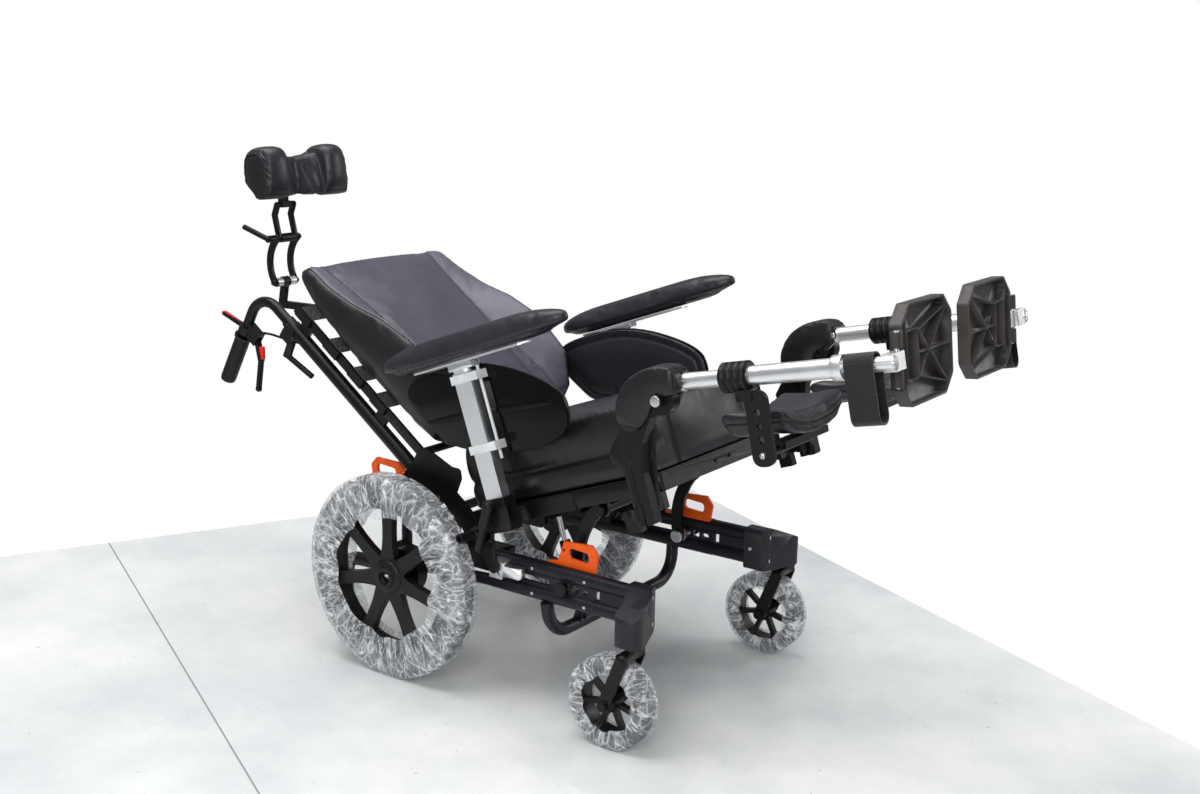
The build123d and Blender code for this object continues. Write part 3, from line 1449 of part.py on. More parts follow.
# ---------------------------------------------------------------- frames that carry the pieces
chassis = Location((0, axle_y, 0))
seat = Location((0, axle_y - hinge_forward, hinge_up), (-tilt_rest, 0, 0))
back = seat * Location((0, 0, 0), (-recline_rest, 0, 0))
leg = seat * Location(spot(0, *knee), (leg_drop, 0, 0))
foot = leg * foot_place


def listed(shape):
    return shape if isinstance(shape, list) else [shape]


def both(shape):
    """A piece or list of pieces on both sides."""
    pieces = listed(shape)
    return pieces + [mirrored(piece) for piece in pieces]


parts = {}


def add(name, frame, pieces):
    """Places pieces in their frame under one node."""
    parts[name] = [frame * piece for piece in listed(pieces)]


def add_sides(name, frame, pieces):
    """One node for each side."""
    add("right_" + name, frame, pieces)
    add("left_" + name, frame, [mirrored(piece) for piece in listed(pieces)])


add("side_beams", chassis, both(side_beam()))
add("arch_tubes", chassis, both(arch_tube()) + [rear_cross_tube()])
add("frame_plates", chassis, both(frame_plates()))
add("cross_tube", chassis, [cross_tube(), strut_bracket()])
add("seat_guides", chassis, both(seat_guide()))
add("tie_downs", chassis, both(tie_downs()))
add("caster_housings", chassis, both(caster_housing()))
add("wheel_lock_bases", chassis, both(wheel_lock_base()))
add("axles_and_bearings", chassis, both(rear_axle() + caster_bearings()))
add("chassis_bolts", chassis, both(chassis_bolts()))
add_sides("anti_tipper", chassis, anti_tipper())
add_sides("wheel_lock", chassis, wheel_lock())
add_sides("rear_wheel", chassis, rear_wheel())
add_sides("rear_tyre", chassis, rear_tyre())
add_sides("caster_fork", chassis, caster_fork())
add_sides("caster_wheel", chassis, caster_wheel())
add("front_links", chassis, front_link())
add("strut_cylinder", chassis, strut_cylinder())
add("strut_rod", chassis, strut_rod())

add("seat_rails", seat, both(seat_rails()))
add("seat_platform", seat, [seat_pan()] + seat_crossmembers() + both(seat_roller()))
add("seat_cushion", seat, seat_cushion())
add("legrest_receivers", seat, both(legrest_receiver()))
add("armrest_sockets", seat, both(armrest_socket()))
add("armrest_posts", seat, both(armrest_post()))
add("post_clamps", seat, both(post_clamps()))
add("side_guards", seat, both(side_guard()))
add_sides("armrest", seat, armrest())

add("back_posts", back, both(back_post()))
add("back_brackets", back, both(back_bracket()))
add("post_clamp_levers", back, both(post_clamp_lever()))
add("back_frame", back, back_frame())
add("back_straps", back, back_straps())
add("back_cushion", back, back_cushion())
add("brake_cables", back, both(brake_cable()))
add_sides("push_handle", back, push_handle())
add_sides("brake_lever", back, brake_lever())
add("headrest_bar", back, headrest_bar())
add("headrest_middle_bars", back, headrest_middle_bars())
add("headrest_upper_bars", back, headrest_upper_bars())
add("headrest_pad", chassis, headrest_pad())

add_sides("hanger", seat, [hanger(), knee_bolt(), knee_cover()])
add_sides("leg_tube", leg, leg_tube())
add_sides("calf_pad", leg, calf_pad())
add_sides("foot_tube", leg, foot_tube())
add_sides("footplate", foot, footplate())

os.makedirs("parts", exist_ok=True)
corners = []
for name, pieces in parts.items():
    solids = [solid for piece in pieces for solid in piece.solids()]
    export_step(Compound(solids), f"parts/{name}.step")
    box = Compound(solids).bounding_box()
    corners += [box.min, box.max]
for axis in "XYZ":
    values = [getattr(corner, axis) for corner in corners]
    print(axis, round(min(values), 2), round(max(values), 2))
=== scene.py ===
import json
import math
from typing import Callable, NamedTuple

import bmesh
import bpy
from bpy.props import FloatProperty, FloatVectorProperty, PointerProperty
from mathutils import Matrix, Vector, noise
from mathutils.bvhtree import BVHTree


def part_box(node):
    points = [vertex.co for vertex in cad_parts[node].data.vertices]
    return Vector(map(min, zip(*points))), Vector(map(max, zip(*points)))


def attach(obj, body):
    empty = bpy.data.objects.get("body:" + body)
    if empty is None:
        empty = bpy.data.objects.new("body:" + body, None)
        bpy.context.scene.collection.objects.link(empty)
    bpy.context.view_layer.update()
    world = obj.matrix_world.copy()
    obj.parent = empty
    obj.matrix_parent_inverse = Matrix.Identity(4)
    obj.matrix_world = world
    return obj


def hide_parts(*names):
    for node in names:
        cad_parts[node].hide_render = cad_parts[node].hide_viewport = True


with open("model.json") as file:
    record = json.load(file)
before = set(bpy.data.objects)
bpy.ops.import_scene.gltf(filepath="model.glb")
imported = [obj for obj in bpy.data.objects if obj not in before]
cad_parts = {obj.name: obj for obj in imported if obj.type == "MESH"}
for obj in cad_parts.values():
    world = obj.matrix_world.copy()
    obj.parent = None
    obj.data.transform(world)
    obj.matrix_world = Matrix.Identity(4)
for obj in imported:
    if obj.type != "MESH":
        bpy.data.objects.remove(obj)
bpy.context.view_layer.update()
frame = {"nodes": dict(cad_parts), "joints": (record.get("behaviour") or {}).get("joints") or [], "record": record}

bl_info = {
    "name": "Tilt in space wheelchair",
    "version": (1, 0, 0),
    "blender": (4, 5, 0),
    "location": "View3D > Sidebar > Wheelchair",
    "description": "Upholstery, finishes and fittings of a tilt in space wheelchair",
    "category": "Object",
}

joints = {joint["name"]: joint for joint in frame["joints"]}
slots = {part["node"]: part["material_slot"] for part in frame["record"]["subparts"]}
sides = (("right", -1), ("left", 1))


# ---------------------------------------------------------------- places on the chair
def spot(x, forward, up):
    """A point of one of the chair's places: across, then forward and up."""
    return Vector((x, -forward, up))


def tipped(degrees):
    """A turn that tips a place back."""
    return Matrix.Rotation(math.radians(-degrees), 4, "X")


def joint_point(name):
    return Vector(joints[name]["pos_m"])


tilt = 20.0
recline = 34.0
leg_drop = 7.6
knee_forward = 0.549
knee_up = 0.162
axle = Vector((0, joint_point("right_wheel_spin").y, 0))
seat_place = Matrix.Translation(joint_point("recline")) @ tipped(tilt)
back_place = seat_place @ tipped(recline)
leg_place = seat_place @ Matrix.Translation(spot(0, knee_forward, knee_up)) @ tipped(-leg_drop)


# ---------------------------------------------------------------- sizes and colours
def colour_of(name, what, default):
    """A colour that the panel shows."""
    return FloatVectorProperty(name=name, description=f"Colour of {what}", subtype="COLOR", size=3, min=0, max=1,
                               default=default)


def length_of(name, what, low, high, default):
    """A small length that the panel shows."""
    return FloatProperty(name=name, description=what, subtype="DISTANCE", unit="LENGTH", min=low, max=high,
                         default=default)


class ChairLooks(bpy.types.PropertyGroup):
    """Colours and small sizes of the finished chair."""

    leather_colour: colour_of("Leatherette", "the cushions and pads", (0.060, 0.056, 0.074))
    frame_colour: colour_of("Frame paint", "the chassis tubes and beams", (0.014, 0.012, 0.018))
    black_colour: colour_of("Black paint", "the seat frame and brackets", (0.0035, 0.0035, 0.0038))
    lashing_colour: colour_of("Lashing loops", "the loops that straps hook into", (0.90, 0.105, 0.006))
    lock_colour: colour_of("Locks", "the small brake locks", (0.75, 0.018, 0.012))
    plate_colour: colour_of("Footplates", "the moulded footplates", (0.050, 0.044, 0.040))
    stitch_length: length_of("Stitch", "Length of one stitch", 0.002, 0.01, 0.0042)
    weave_pitch: length_of("Weave pitch", "Distance between the rows of the webbing", 0.001, 0.01, 0.0022)
    lens: FloatProperty(name="Lens", description="Focal length of the camera in millimetres", min=20, max=120,
                        default=43.4175)


# ---------------------------------------------------------------- finishes
class Finish:
    """A material being mixed, with short calls for its nodes."""

    def __init__(self, name, colour, roughness, metallic=0.0, **sockets):
        self.material = bpy.data.materials.new(name)
        self.material.use_nodes = True
        self.tree = self.material.node_tree
        self.shader = self.tree.nodes["Principled BSDF"]
        self.place = self.node("TexCoord").outputs["Object"]
        self.normal = None
        self.plug(self.shader.inputs["Base Color"], (*colour, 1.0))
        self.plug(self.shader.inputs["Roughness"], roughness)
        self.plug(self.shader.inputs["Metallic"], metallic)
        for socket, value in sockets.items():
            self.plug(self.shader.inputs[socket.replace("_", " ")], value)

    def plug(self, socket, value):
        if isinstance(value, bpy.types.NodeSocket):
            self.tree.links.new(value, socket)
        else:
            socket.default_value = value

    def node(self, kind, inputs=None, **settings):
        made = self.tree.nodes.new("ShaderNode" + kind)
        for name, value in settings.items():
            setattr(made, name, value)
        for name, value in (inputs or {}).items():
            self.plug(made.inputs[name], value)
        return made

    def stretched(self, scale):
        """Object coordinates, stretched."""
        return self.node("Mapping", {"Vector": self.place, "Scale": scale}).outputs[0]

    def noise(self, scale, detail=3.0, roughness=0.5, place=None, distortion=0.0):
        inputs = {"Vector": place or self.place, "Scale": scale, "Detail": detail,
                  "Roughness": roughness, "Distortion": distortion}
        return self.node("TexNoise", inputs).outputs[0]

    def cells(self, scale, place=None):
        """Distance from the edges of a pattern of cells."""
        inputs = {"Vector": place or self.place, "Scale": scale}
        return self.node("TexVoronoi", inputs, feature="DISTANCE_TO_EDGE").outputs[0]

    def waves(self, scale, direction):
        inputs = {"Vector": self.place, "Scale": scale}
        return self.node("TexWave", inputs, bands_direction=direction).outputs[1]

    def spread(self, value, low, high, to_low=0.0, to_high=1.0):
        """Stretches a value from one range to another and stops it there."""
        inputs = {0: value, 1: low, 2: high, 3: to_low, 4: to_high}
        return self.node("MapRange", inputs).outputs[0]

    def maths(self, operation, first, second=0.0):
        return self.node("Math", {0: first, 1: second}, operation=operation).outputs[0]

    def times(self, first, second):
        return self.maths("MULTIPLY", first, second)

    def mixed(self, share, first, second):
        """A colour between two others."""
        def full(colour):
            return colour if isinstance(colour, bpy.types.NodeSocket) else (*colour[:3], 1.0)
        return self.node("Mix", {0: share, 6: full(first), 7: full(second)}, data_type="RGBA").outputs[2]

    def tint(self, share, first, second):
        """Sets the surface colour to a mix."""
        self.plug(self.shader.inputs["Base Color"], self.mixed(share, first, second))

    def shine(self, value, low, high):
        """Lets roughness follow a value."""
        self.plug(self.shader.inputs["Roughness"], self.spread(value, 0.25, 0.75, low, high))

    def soft_edges(self, radius):
        """Rounds sharp edges a little where light meets them."""
        self.normal = self.node("Bevel", {"Radius": radius}, samples=4).outputs[0]
        self.plug(self.shader.inputs["Normal"], self.normal)

    def bump(self, height, distance, strength=1.0):
        """Adds relief on top of what is there."""
        inputs = {"Height": height, "Distance": distance, "Strength": strength}
        if self.normal:
            inputs["Normal"] = self.normal
        self.normal = self.node("Bump", inputs).outputs[0]
        self.plug(self.shader.inputs["Normal"], self.normal)


def shade(colour, factor):
    return tuple(min(1.0, part * factor) for part in colour[:3])


# In the finishes below a noise has its scale, detail and roughness, and a bump its height in metres and strength.
def leatherette(name, colour, crease=1.0, roughness=0.38):
    """Coated fabric: fine pebble grain, soft creases and a broad sheen."""
    finish = Finish(name, colour, roughness, Specular_IOR_Level=0.42)
    cloud = finish.noise(9.0, 4.0)
    finish.tint(finish.spread(cloud, 0.3, 0.7), shade(colour, 0.86), shade(colour, 1.16))
    finish.shine(finish.noise(30.0, 4.0), roughness - 0.05, roughness + 0.09)
    pull = finish.noise(13.0, 3.0, 0.5, distortion=0.6)
    finish.bump(pull, 0.006 * crease, 0.35)
    finish.bump(finish.cells(1100.0), 0.00012, 0.55)
    finish.bump(finish.noise(2600.0, 2.0), 0.00004, 0.5)
    return finish.material


def powder_coat(name, colour, roughness):
    """Sprayed paint with a fine orange peel, faint scuffs and softened edges."""
    finish = Finish(name, colour, roughness, Specular_IOR_Level=0.26)
    finish.soft_edges(0.0012)
    scuff = finish.noise(45.0, 6.0, 0.7)
    finish.tint(finish.spread(scuff, 0.35, 0.75), shade(colour, 0.9), shade(colour, 1.25))
    finish.shine(scuff, roughness - 0.07, roughness + 0.1)
    finish.bump(finish.noise(1500.0, 2.0), 0.00005, 0.6)
    return finish.material


def moulded(name, colour, roughness, grain=900.0):
    """Injection moulded plastic with a spark-eroded grain."""
    finish = Finish(name, colour, roughness, Specular_IOR_Level=0.28)
    finish.soft_edges(0.0012)
    cloud = finish.noise(18.0, 5.0, 0.6)
    finish.tint(finish.spread(cloud, 0.3, 0.7), shade(colour, 0.85), shade(colour, 1.2))
    finish.shine(finish.noise(70.0, 4.0), roughness - 0.08, roughness + 0.08)
    finish.bump(finish.noise(grain, 3.0, 0.6), 0.00010, 0.6)
    return finish.material


def brushed(name, colour, roughness, stretch=(1.0, 1.0, 1.0)):
    """Drawn or turned metal with fine lines along it and dull finger marks."""
    finish = Finish(name, colour, roughness, 1.0)
    finish.soft_edges(0.0008)
    lines = finish.noise(420.0, 4.0, 0.6, finish.stretched(stretch))
    smear = finish.noise(16.0, 4.0, 0.6)
    finish.tint(finish.spread(smear, 0.3, 0.7), shade(colour, 0.93), colour)
    wear = finish.maths("ADD", finish.times(lines, 0.6), finish.times(smear, 0.4))
    finish.shine(wear, roughness - 0.08, roughness + 0.12)
    finish.bump(lines, 0.00003, 0.5)
    return finish.material


def glossy_shell(name, colour):
    """Thermoformed glossy plastic, faintly uneven, with fine scratches."""
    finish = Finish(name, colour, 0.12, Specular_IOR_Level=0.18)
    finish.soft_edges(0.0015)
    scratch = finish.noise(160.0, 5.0, 0.75, finish.stretched((1.0, 0.12, 1.0)))
    finish.tint(finish.spread(scratch, 0.4, 0.8), shade(colour, 0.9), shade(colour, 1.5))
    finish.shine(scratch, 0.08, 0.2)
    finish.bump(finish.noise(8.0, 2.0), 0.0018, 0.25)
    return finish.material


def rubber(name, colour, roughness, grain=1200.0):
    """Rubber with dust in its grain."""
    finish = Finish(name, colour, roughness, Specular_IOR_Level=0.25)
    finish.soft_edges(0.001)
    dust = finish.noise(25.0, 6.0, 0.7)
    finish.tint(finish.spread(dust, 0.35, 0.8), shade(colour, 0.85), shade(colour, 1.5))
    finish.shine(dust, roughness - 0.1, roughness + 0.12)
    finish.bump(finish.noise(grain, 3.0, 0.6), 0.00012, 0.6)
    return finish.material


def webbing(name, colour, pitch):
    """Flat woven band: ribs across and a herringbone of yarns."""
    finish = Finish(name, colour, 0.72, Specular_IOR_Level=0.3, Sheen_Weight=0.35, Sheen_Roughness=0.4)
    weave = finish.times(*(finish.waves(0.5 / pitch, direction) for direction in ("X", "DIAGONAL")))
    finish.tint(weave, shade(colour, 0.55), shade(colour, 1.5))
    finish.bump(weave, 0.0005, 0.8)
    finish.bump(finish.noise(1800.0, 3.0), 0.0001, 0.5)
    return finish.material


def wrapping_film(name):
    """Thin clear film, wound round the tyre: streaked with white creases, clear between them; the white is partly the
    creases and partly a painted highlight of their crinkles.
    """
    finish = Finish(name, (0.86, 0.88, 0.9), 0.14, Specular_IOR_Level=0.7)
    finish.material.surface_render_method = "BLENDED"
    wound = finish.node("Attribute", attribute_name="wound").outputs["Vector"]
    cloud = finish.spread(finish.noise(13.0, 5.0, 0.7, wound, 1.2), 0.38, 0.60)
    streak = finish.spread(finish.noise(24.0, 8.0, 0.78, wound, 2.6), 0.50, 0.60)
    fold = finish.spread(finish.cells(34.0, place=wound), 0.0, 0.07, 1.0, 0.0)
    fine = finish.spread(finish.noise(130.0, 4.0, 0.7, wound, 1.2), 0.52, 0.66)
    # crease marks the film's folds; the white painted on them and their extra cover below are a painted highlight of
    # the crinkles
    crease = finish.maths("MAXIMUM", streak, finish.times(finish.maths("ADD", fold, fine), 0.55))
    cover = finish.maths("ADD", finish.times(cloud, 0.38), finish.times(crease, 0.60))
    finish.tint(crease, (0.50, 0.52, 0.55), (0.95, 0.96, 0.97))
    finish.plug(finish.shader.inputs["Alpha"], finish.spread(cover, 0.03, 0.85, 0.14, 0.94))
    finish.bump(finish.noise(40.0, 6.0, 0.75, wound, 2.0), 0.0035, 0.9)
    finish.bump(finish.cells(34.0, place=wound), 0.002, 0.6)
    return finish.material


def concrete(name):
    """Pale polished floor with faint clouds, partly real mottling and partly painted grey-blue reflection, pores and
    stains, and one joint between its slabs.
    """
    finish = Finish(name, (0.80, 0.80, 0.79), 0.2, Specular_IOR_Level=0.5)
    # the grey-blue clouds are partly the concrete's mottling and partly painted reflection
    mottle_and_reflection = finish.spread(finish.noise(1.6, 8.0, 0.62), 0.35, 0.7)
    colour = finish.mixed(mottle_and_reflection, (0.86, 0.86, 0.845), (0.56, 0.59, 0.60))
    stain = finish.spread(finish.noise(5.5, 6.0, 0.7, distortion=0.8), 0.62, 0.78)
    colour = finish.mixed(finish.times(stain, 0.5), colour, (0.55, 0.54, 0.50))
    pore = finish.spread(finish.noise(70.0, 3.0, 0.5), 0.70, 0.76)
    colour = finish.mixed(finish.times(pore, 0.6), colour, (0.33, 0.28, 0.22))
    apart = finish.node("VectorMath", {0: finish.place, 1: floor_left}, operation="DOT_PRODUCT").outputs["Value"]
    apart = finish.maths("ABSOLUTE", finish.maths("SUBTRACT", apart, floor_left.dot(floor_corner) + floor_joint))
    finish.tint(finish.spread(apart, 0.001, 0.0025, 0.75, 0.0), colour, (0.16, 0.16, 0.16))
    finish.shine(finish.noise(3.2, 6.0, 0.65), 0.08, 0.30)
    finish.bump(finish.noise(38.0, 5.0, 0.6), 0.0004, 0.5)
    return finish.material


palette = {}
# the floor: its far corner, the ways its two far edges run, and where the joint between two slabs crosses the left one
floor_corner = Vector((1.2627, 0.5710, 0.0))
floor_left = Vector((-0.8939, 0.4482, 0.0))
floor_right = Vector((-0.4576, -0.8891, 0.0))
floor_joint = 1.575
floor_length = 7.0


def mix(kind, name, *values):
    palette[name] = kind(name, *values)


def mix_palette(looks):
    """Every finish of the chair, under the names of the record's slots and a few more."""
    leather = looks.leather_colour
    mix(leatherette, "leatherette", tuple(leather))
    mix(leatherette, "quiet_leatherette", shade(leather, 0.24), 0.3, 0.36)
    # darker copy: painted shade on the sides of the seat and back cushions and on the headrest's ends; the knee covers
    # are made of it whole
    mix(leatherette, "dark_leatherette", shade(leather, 0.10), 0.5, 0.36)
    # lighter copy: a painted highlight on the back cushion's side bands
    mix(leatherette, "pale_leatherette", shade(leather, 1.5), 0.5, 0.42)
    mix(leatherette, "piping", shade(leather, 0.12), 0.2, 0.42)
    mix(rubber, "thread", shade(leather, 0.35), 0.6, 3000.0)
    mix(powder_coat, "frame_paint", tuple(looks.frame_colour), 0.34)
    mix(powder_coat, "black_paint", tuple(looks.black_colour), 0.33)
    mix(powder_coat, "orange_paint", tuple(looks.lashing_colour), 0.38)
    mix(moulded, "red_plastic", tuple(looks.lock_colour), 0.35)
    mix(moulded, "dark_plastic", (0.020, 0.018, 0.023), 0.42)
    mix(moulded, "black_plastic", (0.004, 0.004, 0.0042), 0.4)
    mix(moulded, "grey_plastic", tuple(looks.plate_colour), 0.42, 500.0)
    mix(moulded, "white_plastic", (0.72, 0.73, 0.74), 0.4)
    mix(glossy_shell, "gloss_black", (0.002, 0.002, 0.0022))
    mix(brushed, "steel", (0.60, 0.60, 0.61), 0.28)
    mix(brushed, "chrome", (0.82, 0.82, 0.84), 0.1)
    mix(brushed, "aluminium", (0.80, 0.805, 0.815), 0.34, (1.0, 0.06, 1.0))
    mix(rubber, "tyre", (0.060, 0.062, 0.070), 0.5)
    mix(rubber, "rubber", (0.004, 0.004, 0.004), 0.45)
    mix(webbing, "webbing", (0.016, 0.015, 0.016), looks.weave_pitch)
    mix(wrapping_film, "film")
    mix(concrete, "concrete")


# ---------------------------------------------------------------- making pieces
def shade_smooth(mesh):
    mesh.polygons.foreach_set("use_smooth", [True] * len(mesh.polygons))


def smooth(mesh, degrees=32.0):
    """Smooth faces with sharp edges kept."""
    shade_smooth(mesh)
    mesh.set_sharp_from_angle(angle=math.radians(degrees))


def linked(name, data):
    """A new object in the scene."""
    made = bpy.data.objects.new(name, data)
    bpy.context.scene.collection.objects.link(made)
    return made


def opened(mesh):
    """A mesh as an editable shape."""
    shape = bmesh.new()
    shape.from_mesh(mesh)
    return shape


def to_mesh(shape, name):
    mesh = bpy.data.meshes.new(name)
    shape.to_mesh(mesh)
    shape.free()
    return mesh


def place_piece(name, mesh, finish, body, place=None, stands_for=()):
    """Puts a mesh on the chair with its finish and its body."""
    if place is not None:
        mesh.transform(place)
    piece = linked(name, mesh)
    for one in ([finish] if isinstance(finish, str) else finish):
        mesh.materials.append(palette[one])
    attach(piece, body)
    if stands_for:
        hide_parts(*stands_for)
    return piece


def place_shape(name, shape, degrees, finish, body, slot, place=None, stands_for=()):
    """Puts a shape on the chair, smooth but for edges sharper than an angle."""
    mesh = to_mesh(shape, name)
    smooth(mesh, degrees)
    return place_piece(name, mesh, finish, body, place, stands_for)


def bevelled(shape, offset, segments, sharp=0.0):
    """A shape with its edges rounded, or only those sharper than an angle in radians."""
    edges = [edge for edge in shape.edges if not sharp or edge.calc_face_angle(0) > sharp]
    bmesh.ops.bevel(shape, geom=edges, offset=offset, segments=segments, profile=0.5, affect="EDGES", material=-1)
    return shape


def mirror_mesh(mesh, name):
    """The same mesh on the sitter's left."""
    shape = opened(mesh)
    bmesh.ops.scale(shape, vec=(-1, 1, 1), verts=shape.verts)
    bmesh.ops.reverse_faces(shape, faces=shape.faces)
    return to_mesh(shape, name)


def islands(shape):
    """The separate closed shapes of a mesh, as lists of faces."""
    left = set(shape.faces)
    found = []
    while left:
        group = [left.pop()]
        for face in group:
            for edge in face.edges:
                for other in edge.link_faces:
                    if other in left:
                        left.discard(other)
                        group.append(other)
        found.append(group)
    return found


def extents(faces):
    """How far a group of faces reaches along each axis."""
    points = [vert.co for face in faces for vert in face.verts]
    return [max(point[axis] for point in points) - min(point[axis] for point in points) for axis in range(3)]


merge_reach = 2e-6


def merged(node, keep=None):
    """A CAD node's mesh with its doubles merged, or only its closed shapes that pass a test of their size."""
    shape = opened(frame["nodes"][node].data)
    bmesh.ops.remove_doubles(shape, verts=shape.verts, dist=merge_reach)
    if keep:
        gone = [face for faces in islands(shape) if not keep(extents(faces)) for face in faces]
        bmesh.ops.delete(shape, geom=gone, context="FACES")
    return shape


def dress(node, body, finish, *zones, place=None, drop=None):
    """A copy of a CAD node with softer shading; each zone is a finish and a test of a face.

    The tests get the face's centre in the given place, and the three extents of its closed shape."""
    name = node + "_finished"
    shape = merged(node)
    back = (place or Matrix.Identity(4)).inverted()
    finishes = [finish] + [zone[0] for zone in zones]
    gone = []
    for faces in islands(shape):
        size = extents(faces)
        for face in faces:
            centre = local(back @ face.calc_center_median())
            face.material_index = 0
            for number, (_, test) in enumerate(zones, 1):
                if test(centre, size):
                    face.material_index = number
            if drop and drop(centre, size):
                gone.append(face)
    bmesh.ops.delete(shape, geom=gone, context="FACES")
    mesh = to_mesh(shape, name)
    smooth(mesh)
    piece = place_piece(name, mesh, finishes, body, stands_for=[node])
    flatten = piece.modifiers.new("even_shading", "WEIGHTED_NORMAL")
    flatten.keep_sharp = True
    flatten.weight = 100
    piece.data = evaluated(piece)
    piece.modifiers.clear()
    bpy.data.meshes.remove(mesh)
    return piece


def loft(sections):
    """A skin bridged through loops of points that have the same count."""
    shape = bmesh.new()
    loops = []
    for points in sections:
        verts = [shape.verts.new(point) for point in points]
        loops.append([shape.edges.new(pair) for pair in zip(verts, verts[1:] + verts[:1])])
    for first, second in zip(loops, loops[1:]):
        bmesh.ops.bridge_loops(shape, edges=first + second)
    for loop in (loops[0], loops[-1]):
        bmesh.ops.edgeloop_fill(shape, edges=loop)
    bmesh.ops.recalc_face_normals(shape, faces=shape.faces)
    return shape


def rounded_outline(points, rounds):
    """An outline with its corners cut again and again."""
    points = [Vector(point) for point in points]
    for _ in range(rounds):
        pairs = zip(points, points[1:] + points[:1])
        points = [first.lerp(second, share) for first, second in pairs for share in (0.25, 0.75)]
    return points


def side_panel(outline, inner, outer, rounds):
    """A closed slab of a rounded outline of forward and up, between two distances across."""
    points = rounded_outline(outline, rounds)
    return loft([[spot(x, *point) for point in points] for x in (inner, outer)])


def evaluated(piece):
    """The piece's mesh with its modifiers applied."""
    graph = bpy.context.evaluated_depsgraph_get()
    return bpy.data.meshes.new_from_object(piece.evaluated_get(graph))


def modified(mesh, kind, **settings):
    """A mesh as one modifier leaves it."""
    piece = linked("modified", mesh)
    modifier = piece.modifiers.new(kind, kind)
    for name, value in settings.items():
        setattr(modifier, name, value)
    result = evaluated(piece)
    bpy.data.objects.remove(piece)
    return result


# ---------------------------------------------------------------- upholstery
def local(point):
    """Across, forward and up of a point of a mesh in its own place."""
    return Vector((point.x, -point.y, point.z))


def everywhere(point):
    return True


def height(point):
    return point.z


def girth(point):
    return point.x + point.y


def across(point):
    return point.x


def along_chair(point):
    return point.y


class Seam(NamedTuple):
    """A sewn line where a level is nought: its groove, its gathers and the cord or stitches along it."""

    level: Callable
    where: Callable = everywhere
    depth: float = 0.003
    width: float = 0.006
    gather: float = 0.0
    pitch: float = 0.011
    along: Callable = height
    cord: float = 0.0
    stitches: float = 0.0

    def dip(self, point):
        """How far a point of the cover is drawn in."""
        away = abs(self.level(point))
        if away > 5 * self.width or not self.where(point):
            return 0.0
        groove = self.depth * math.exp(-(away / self.width) ** 2)
        if not self.gather:
            return groove
        run = self.along(point) / self.pitch
        wobble = noise.noise(Vector((run * 0.9, away * 60, 3.0)))
        fold = 0.5 + 0.5 * math.sin(2 * math.pi * (run + 0.7 * wobble))
        size = 0.45 + 0.55 * abs(noise.noise(Vector((run * 0.37, 7.0, 1.0)))) * 2
        return groove + self.gather * size * fold * math.exp(-away / (2.0 * self.width))


cloth_settings = {
    "quality": 6, "mass": 0.15, "use_pressure": True, "uniform_pressure_force": 4.0, "vertex_group_mass": "held",
    "shrink_min": -0.006, "tension_stiffness": 12, "compression_stiffness": 8, "bending_stiffness": 0.6,
}
cloth_frames = 14


def inflate(mesh, pinned, cap):
    """Lets the cover fill from inside, held where it is sewn or rests, and stops each point at the cap."""
    start = [vert.co.copy() for vert in mesh.vertices]
    scene = bpy.context.scene
    piece = linked("filling", mesh)
    piece.vertex_groups.new(name="held").add(pinned, 1.0, "REPLACE")
    cloth = piece.modifiers.new("filling", "CLOTH")
    for name, value in cloth_settings.items():
        setattr(cloth.settings, name, value)
    cloth.settings.effector_weights.gravity = 0
    cloth.point_cache.frame_start = 1
    cloth.point_cache.frame_end = cloth_frames
    for step in range(1, cloth_frames + 1):
        scene.frame_set(step)
    filled = evaluated(piece)
    for vert, after, before in zip(mesh.vertices, filled.vertices, start):
        move = after.co - before
        vert.co = before + move * min(1.0, cap / max(move.length, 1e-9))
    scene.frame_set(1)
    bpy.data.objects.remove(piece)
    bpy.data.meshes.remove(filled)
    return mesh


def softened(mesh, rounds):
    """A mesh with its points eased towards their neighbours."""
    shape = opened(mesh)
    for _ in range(rounds):
        bmesh.ops.smooth_vert(shape, verts=shape.verts, factor=0.5, use_axis_x=True, use_axis_y=True,
                              use_axis_z=True)
    shape.to_mesh(mesh)
    shape.free()
    mesh.update()
    return mesh


def held_points(mesh, seams, rests, reach):
    """Numbers of the points that lie on a seam or on what carries the cushion."""
    found = []
    for vert in mesh.vertices:
        point = local(vert.co)
        sewn = any(seam.where(point) and abs(seam.level(point)) < reach for seam in seams)
        if sewn or rests(point, vert.normal):
            found.append(vert.index)
    return found


shortest_chain = 8


def crossings(mesh, seam):
    """Chains of points and normals where a mesh crosses a seam, each with whether it closes."""
    shape = opened(mesh)
    level = {vert: seam.level(local(vert.co)) for vert in shape.verts}
    found = {}
    for edge in shape.edges:
        first, second = edge.verts
        if (level[first] < 0) == (level[second] < 0):
            continue
        share = level[first] / (level[first] - level[second])
        point = first.co.lerp(second.co, share)
        if seam.where(local(point)):
            found[edge] = (point, first.normal.lerp(second.normal, share).normalized())
    links = {edge: [] for edge in found}
    for face in shape.faces:
        pair = [edge for edge in face.edges if edge in found]
        if len(pair) == 2:
            links[pair[0]].append(pair[1])
            links[pair[1]].append(pair[0])
    chains = []
    used = set()
    for start in sorted(links, key=lambda edge: (len(links[edge]), edge.index)):
        if start in used:
            continue
        chain = [start]
        used.add(start)
        closed = False
        while True:
            onward = [edge for edge in links[chain[-1]] if edge not in used]
            if not onward:
                closed = len(chain) > shortest_chain and chain[0] in links[chain[-1]]
                break
            chain.append(onward[0])
            used.add(onward[0])
        if len(chain) > shortest_chain:
            chains.append(([found[edge] for edge in chain], closed))
    shape.free()
    return chains


def eased(points, closed):
    """A chain of points with its small zigzags taken out."""
    last = len(points) - 1
    for _ in range(4):
        fresh = []
        for index, point in enumerate(points):
            if not closed and index in (0, last):
                fresh.append(point)
                continue
            fresh.append((points[index - 1] + point * 2 + points[(index + 1) % len(points)]) / 4)
        points = fresh
    return points


